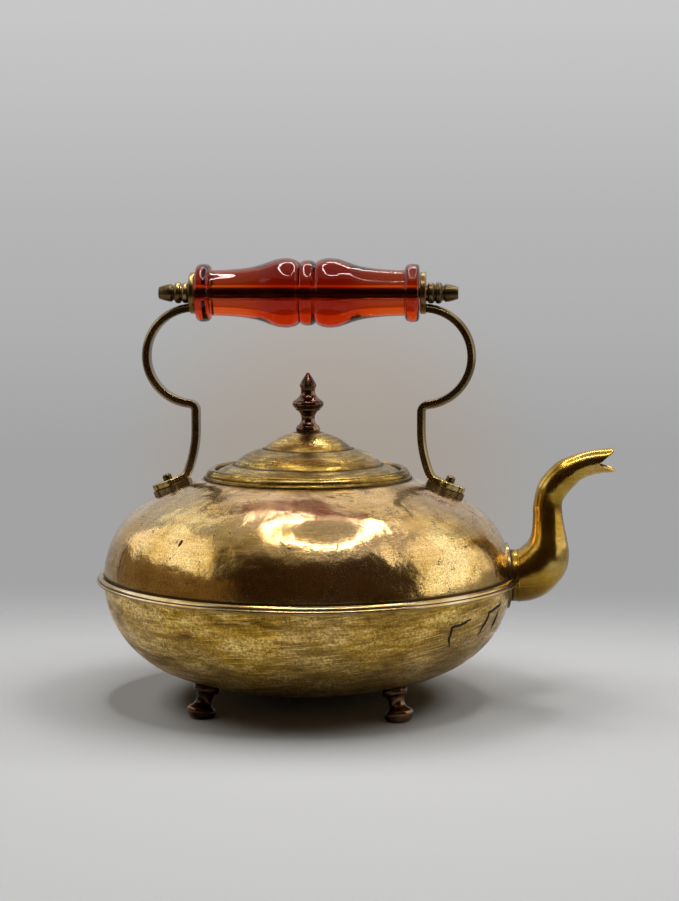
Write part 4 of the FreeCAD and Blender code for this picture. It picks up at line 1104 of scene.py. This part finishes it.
# down from the eye: the curl, a tight corner, the leaning upright and the bend into the palm
def strapPath(s):
    tilt, lean = math.radians(s["palmTilt"]), math.radians(s["lean"])
    bend, steps = s["bend"], s["bendSteps"]
    lift = s["padThick"] + s["palmThick"] / 2
    barX = s["palmRadius"] + math.sin(tilt) * lift - math.cos(tilt) * s["palmLength"] / 4
    barZ = s["palmZ"] + math.cos(tilt) * lift + math.sin(tilt) * s["palmLength"] / 4
    leanX = s["upright"] + s["leanRadius"] * (1 - math.cos(lean))
    bendX = leanX + bend * (math.cos(lean) - math.sin(tilt))
    bendZ = barZ + (barX - bendX) * math.tan(tilt)
    leanZ = bendZ + bend * (math.cos(tilt) - math.sin(lean))
    uprightZ = leanZ + s["leanRadius"] * math.sin(lean)
    cornerX, cornerZ = s["upright"] + s["corner"], uprightZ + s["uprightLength"]
    curlX = s["eyeInner"] + s["eyeThick"] / 2
    curlZ = s["height"] - s["eyeDrop"] - s["curl"]
    turn = math.degrees(math.atan2(cornerZ - curlZ, cornerX - curlX))
    path = [(s["eyeInner"], 0.0, curlZ + s["curl"])]
    path += arcRun((curlX, curlZ), s["curl"], 90, turn, s["curlSteps"])
    path += arcRun((cornerX, cornerZ), s["corner"], 180 + turn, 180, steps)[1:]
    path += arcRun((s["upright"] + s["leanRadius"], uprightZ), s["leanRadius"], 180, 180 + s["lean"], steps)
    path += arcRun((leanX + bend * math.cos(lean), leanZ + bend * math.sin(lean)), bend, 180 + s["lean"],
                   270 - s["palmTilt"], steps)[1:]
    return path + [(barX, 0.0, barZ)]


# palm: a lobed plate with softened edges
def palmPlate(s):
    rows = [(s["palmLength"] * along, s["palmHalf"] * half, bow) for along, half, bow in s["palm"]]
    edge = traced(rows, s["palmSteps"])
    tip, half, bow = rows[-1]
    nose = traced([(tip, half, s["noseBow"]), (tip, -half, 0.0)])
    outline = edge[:-1] + nose[:-1] + [Vector((p.x, -p.y)) for p in reversed(edge)]
    work = bmesh.new()
    low, high = [
        [work.verts.new((p.x * mm, p.y * mm, z * mm)) for p in outline] for z in (0.0, s["palmThick"])]
    work.faces.new(low)
    work.faces.new(high)
    bridged(work, low, high)
    bmesh.ops.recalc_face_normals(work, faces=work.faces)
    rim = [e for e in work.edges if e.calc_face_angle(0.0) > math.radians(s["palmSharp"])]
    bmesh.ops.bevel(work, geom=rim, offset=s["palmRound"] * mm, segments=s["palmSegments"], profile=0.5,
                    affect="EDGES")
    bmesh.ops.transform(work, matrix=onPalm(s, s["padThick"]), verts=work.verts)
    return smoothed(work, "palm")


def buildHandle(s):
    half, thick = s["barWidth"] / 2, s["barThick"]
    edge = thick / 2 - thick * (s["barFlat"] + s["barBow"])
    section = traced([(half, edge, -s["barBow"]), (-half, edge, 0.0)], s["barSteps"])
    section += [Vector((-half, -thick / 2)), Vector((half, -thick / 2))]
    bar = swept("strapBar", strapPath(s), eased(section, s["barEase"], closed=True), "strapBrass")
    bore, outer = s["rod"] + s["eyeGap"], s["eyeInner"] + s["eyeThick"]
    rows = [Vector((bore, s["eyeInner"])), Vector((s["eyeRadius"], s["eyeInner"])),
            Vector((s["eyeRadius"], outer)), Vector((bore, outer))]
    axis = Matrix.Translation((0.0, 0.0, s["height"] * mm))
    rows = eased(rows, s["eyeEase"], closed=True)
    disc = turned("eye", rows, s["eyeAround"], closed=True, level=True, place=axis)
    palm = palmPlate(s)
    for side, hand, place in hands:
        strap = joined("strap" + side, [bar, disc, palm], place=place)
        addPiece("strap" + side, strap, "strapBrass", "kettle", "dark_brass", hand + "_strap")

    # one riveted head on each palm
    head = s["padThick"] + s["palmThick"]
    width, height = s["rivetRadius"], s["rivetHeight"]
    rows = [(width * girth, head + height * up - sunk, bow) for girth, up, sunk, bow in s["rivet"]]
    line = eased(traced(rows, s["rivetSteps"]), s["rivetEase"])
    rivet = turned("rivet", line, s["rivetAround"], place=onPalm(s, 0.0))
    rivets = grown("palmRivets", rivet, ringTree, "darkBrass", {"Count": 2, "First turn": 0.0})
    addPiece("palmRivets", rivets, "darkBrass", "kettle", "dark_brass", "strap_rivets")

    rows = [(outer + s["nutLength"] * along, s["nutRadius"] * girth, bow) for girth, along, bow in s["nut"]]
    line = [Vector((p.y, p.x)) for p in traced(rows, s["nutSteps"])]
    line.append(Vector((0.0, outer + s["nutLength"])))
    line = [Vector((s["rod"] * s["nutBore"], outer))] + eased(line, s["nutEase"])
    for side, hand, place in hands:
        nut = turned("endNut" + side, line, s["nutAround"], level=True, place=place @ axis)
        addPiece("endNut" + side, nut, "darkBrass", "kettle", "dark_brass", hand + "_end_nut")

    bead, *outward = [smoothRows([along for along, girth in run], run, s["gripSteps"]) for run in s["grip"]]
    ahead = [row for run in outward for row in run[1:]]
    line = [(-along, girth) for along, girth in reversed(ahead)] + bead + ahead
    whole = [Vector((s["gripRadius"] * girth, s["gripHalf"] * along)) for along, girth in line]
    whole += [Vector((s["bore"], s["gripHalf"])), Vector((s["bore"], -s["gripHalf"]))]
    whole = eased(whole, s["gripEase"], closed=True)
    glass = turned("glassGrip", whole, s["gripAround"], closed=True, level=True, place=axis)
    addPiece("glassGrip", glass, "amberGlass", "grip", "amber_glass", "glass_grip")


buildHandle(handleSet)
print("handle built")

# feet: turned, square to the bowl, cut level where they stand
footSet = {
    "radius": 7.3, "circle": 65.95, "lean": 16.08, "top": 15.52, "length": 16.15, "sunk": 1.0, "past": 1.0,
    "tip": 0.5, "ease": 0.5, "around": 64,
    "rows": [(0.83, 0.0, 0.1), (0.83, 0.19, 0.0), (0.70, 0.22, -0.1), (0.53, 0.42, -0.12), (0.70, 0.62, 0.0),
             (0.76, 0.65, 0.16), (1.0, 0.80, 0.16)],
}


def buildFeet(s):
    radius, end = s["radius"], -s["length"] - s["past"]
    rows = [(0.0, s["sunk"], 0.0), (radius * s["rows"][0][0], s["sunk"], 0.0)]
    rows += [(radius * girth, -s["length"] * down, bow) for girth, down, bow in s["rows"]]
    rows += [(radius * s["tip"], end, 0.0), (0.0, end, 0.0)]
    stance = Matrix.Translation(Vector((s["circle"], 0.0, s["top"])) * mm)
    stance = stance @ Matrix.Rotation(math.radians(-s["lean"]), 4, "Y")
    work = bmesh.new()
    turnedForm(work, eased(traced(rows), s["ease"]), s["around"], place=stance)
    bmesh.ops.remove_doubles(work, verts=work.verts, dist=weld)
    parts = [*work.verts, *work.edges, *work.faces]
    bmesh.ops.bisect_plane(work, geom=parts, dist=weld, plane_co=(0, 0, 0), plane_no=(0, 0, -1),
                           clear_outer=True)
    bmesh.ops.holes_fill(work, edges=[e for e in work.edges if e.is_boundary])
    foot = smoothed(work, "foot")
    feet = grown("feet", foot, ringTree, "footBronze", {"Count": 4, "First turn": math.pi / 4})
    addPiece("feet", feet, "footBronze", "kettle", "bronze",
             "foot_back_right", "foot_back_left", "foot_front_right", "foot_front_left")


buildFeet(footSet)
print("feet built")

# cracks and nicks: thin dark lines that follow the sheet, each a half width and its (angle, height) points
crackSet = {
    "spacing": 0.5, "stray": 0.5, "strayScale": 420.0, "sink": 0.55, "sides": 8,
    # where along the line each taper starts and ends, and its girth at both
    "startTaper": (0.0, 0.16, 0.35, 1.0), "endTaper": (0.8, 1.0, 1.0, 0.3),
    "lines": {
        "bowlCracks": ("bowlLower", [
            (1.0, [(-35.4, 53.3), (-36.9, 53.1), (-39.0, 51.9), (-40.4, 51.4), (-42.0, 51.5), (-43.2, 51.2),
                   (-43.1, 49.5), (-43.0, 47.2), (-43.3, 45.7), (-42.6, 43.7), (-41.5, 40.3)]),
            (1.05, [(-18.9, 57.8), (-19.7, 56.1), (-22.4, 55.5), (-24.9, 54.5), (-26.7, 54.3), (-26.6, 52.5),
                    (-27.5, 49.3), (-28.5, 47.1), (-28.9, 44.5), (-29.5, 43.1)]),
            (1.0, [(-20.3, 52.9), (-21.1, 48.1), (-21.5, 44.5)]),
            (0.50, [(-24.3, 40.9), (-24.7, 39.6)]),
            (0.40, [(-90.0, 60.4), (-89.7, 59.8)])]),
        "shellNicks": ("shellUpper", [
            (0.95, [(-124.5, 93.2), (-124.4, 91.6), (-124.7, 90.0)]),
            (0.26, [(-147.4, 88.8), (-148.0, 85.8), (-148.5, 82.4), (-148.7, 79.4), (-148.4, 76.2),
                    (-148.0, 72.1)]),
            (0.6, [(-34.6, 88.1), (-34.4, 87.2)]), (0.56, [(-41.0, 82.2), (-40.8, 81.4)]),
            (0.5, [(-116.4, 97.5), (-116.1, 97.0)]), (0.52, [(-109.4, 98.1), (-109.2, 97.4)]),
            (0.6, [(-90.8, 92.1), (-89.8, 92.0)]), (0.58, [(-109.9, 90.5), (-109.3, 90.0)]),
            (0.46, [(-126.2, 84.8), (-125.6, 84.5)]), (0.5, [(-59.0, 89.3), (-58.4, 89.0)]),
            (0.44, [(-122.2, 69.6), (-121.7, 69.3)])]),
    },
}


# a thin line laid on the nearest part of a sheet, a little astray and sunk by a share of its width
def crackNodes(tree, given):
    s = crackSet
    path = shape(tree, "MeshToCurve", {"Mesh": given["Geometry"]})
    fine = shape(tree, "ResampleCurve", {"Curve": path, "Length": given["Spacing"]}, mode="LENGTH")
    sheet = shape(tree, "ObjectInfo", {"Object": given["Sheet"]}, out="Geometry")
    spot = shape(tree, "InputPosition")

    def vector(operation, first, key, second):
        return shade(tree, "VectorMath", {0: first, key: second}, operation=operation)

    noise = shade(tree, "TexNoise", {"Vector": spot, "Scale": s["strayScale"], "Detail": 2.0}, out="Color")
    stray = vector("SCALE", vector("SUBTRACT", noise, 1, (0.5, 0.5, 0.5)), "Scale", given["Stray"])
    aim = vector("ADD", spot, 1, stray)
    landed = shape(tree, "Proximity", {0: sheet, "Sample Position": aim}, out="Position")
    share = shape(tree, "SplineParameter", out="Factor")
    tapers = [spread(tree, share, *s[end]) for end in ("startTaper", "endTaper")]
    girth = figured(tree, *tapers, "MULTIPLY")
    sink = figured(tree, figured(tree, given["Width"], s["sink"], "MULTIPLY"), girth, "MULTIPLY")
    middle = vector("SUBTRACT", (0.0, 0.0, bodySet["seam"] * mm), 1, spot)
    inward = shade(tree, "VectorMath", {0: middle}, operation="NORMALIZE")
    sunk = vector("SCALE", inward, "Scale", sink)
    laid = shape(tree, "SetPosition", {"Geometry": fine, "Position": landed, "Offset": sunk})
    ring = shape(tree, "CurvePrimitiveCircle", {"Resolution": s["sides"], "Radius": given["Width"]})
    return shape(tree, "CurveToMesh", {
        "Curve": laid, "Profile Curve": ring, "Scale": girth, "Fill Caps": True})


crackTree = shapeTree("crackLine", {
    "Sheet": "Object", "Width": "Float", "Spacing": "Float", "Stray": "Float"}, crackNodes)


def buildCracks(s):
    for name, (sheet, rows) in s["lines"].items():
        lines = []
        for k, (width, row) in enumerate(rows):
            source = pathMesh(f"{name}{k}", [onBody(angle, z) for angle, z in row])
            lines.append(grown(f"{name}{k}", source, crackTree, "crackDirt", {
                "Sheet": bpy.data.objects[sheet], "Width": width * mm, "Spacing": s["spacing"] * mm,
                "Stray": s["stray"] * mm}))
        addPiece(name, joined(name, lines), "crackDirt", "kettle", "dark_brass")


buildCracks(crackSet)
print("cracks laid")

# the CAD pieces that stay in view keep their shape and get the matching finish
keptFinish = {
    "darkBrass": ["spout_plate", "rivet_burrs", "foot_washers", "foot_nuts", "finial_washer", "finial_nut"],
    # the strap pads are nearly black: painted shadow under the palm plates
    "shadedPadBrass": ["left_strap_pad", "right_strap_pad"], "rodSteel": ["tie_rod"], "lidBrass": ["lid_sleeve"],
}
for finish, nodes in keptFinish.items():
    for node in nodes:
        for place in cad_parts[node].material_slots:
            place.material = finishes[finish]
print("kept nodes dressed")
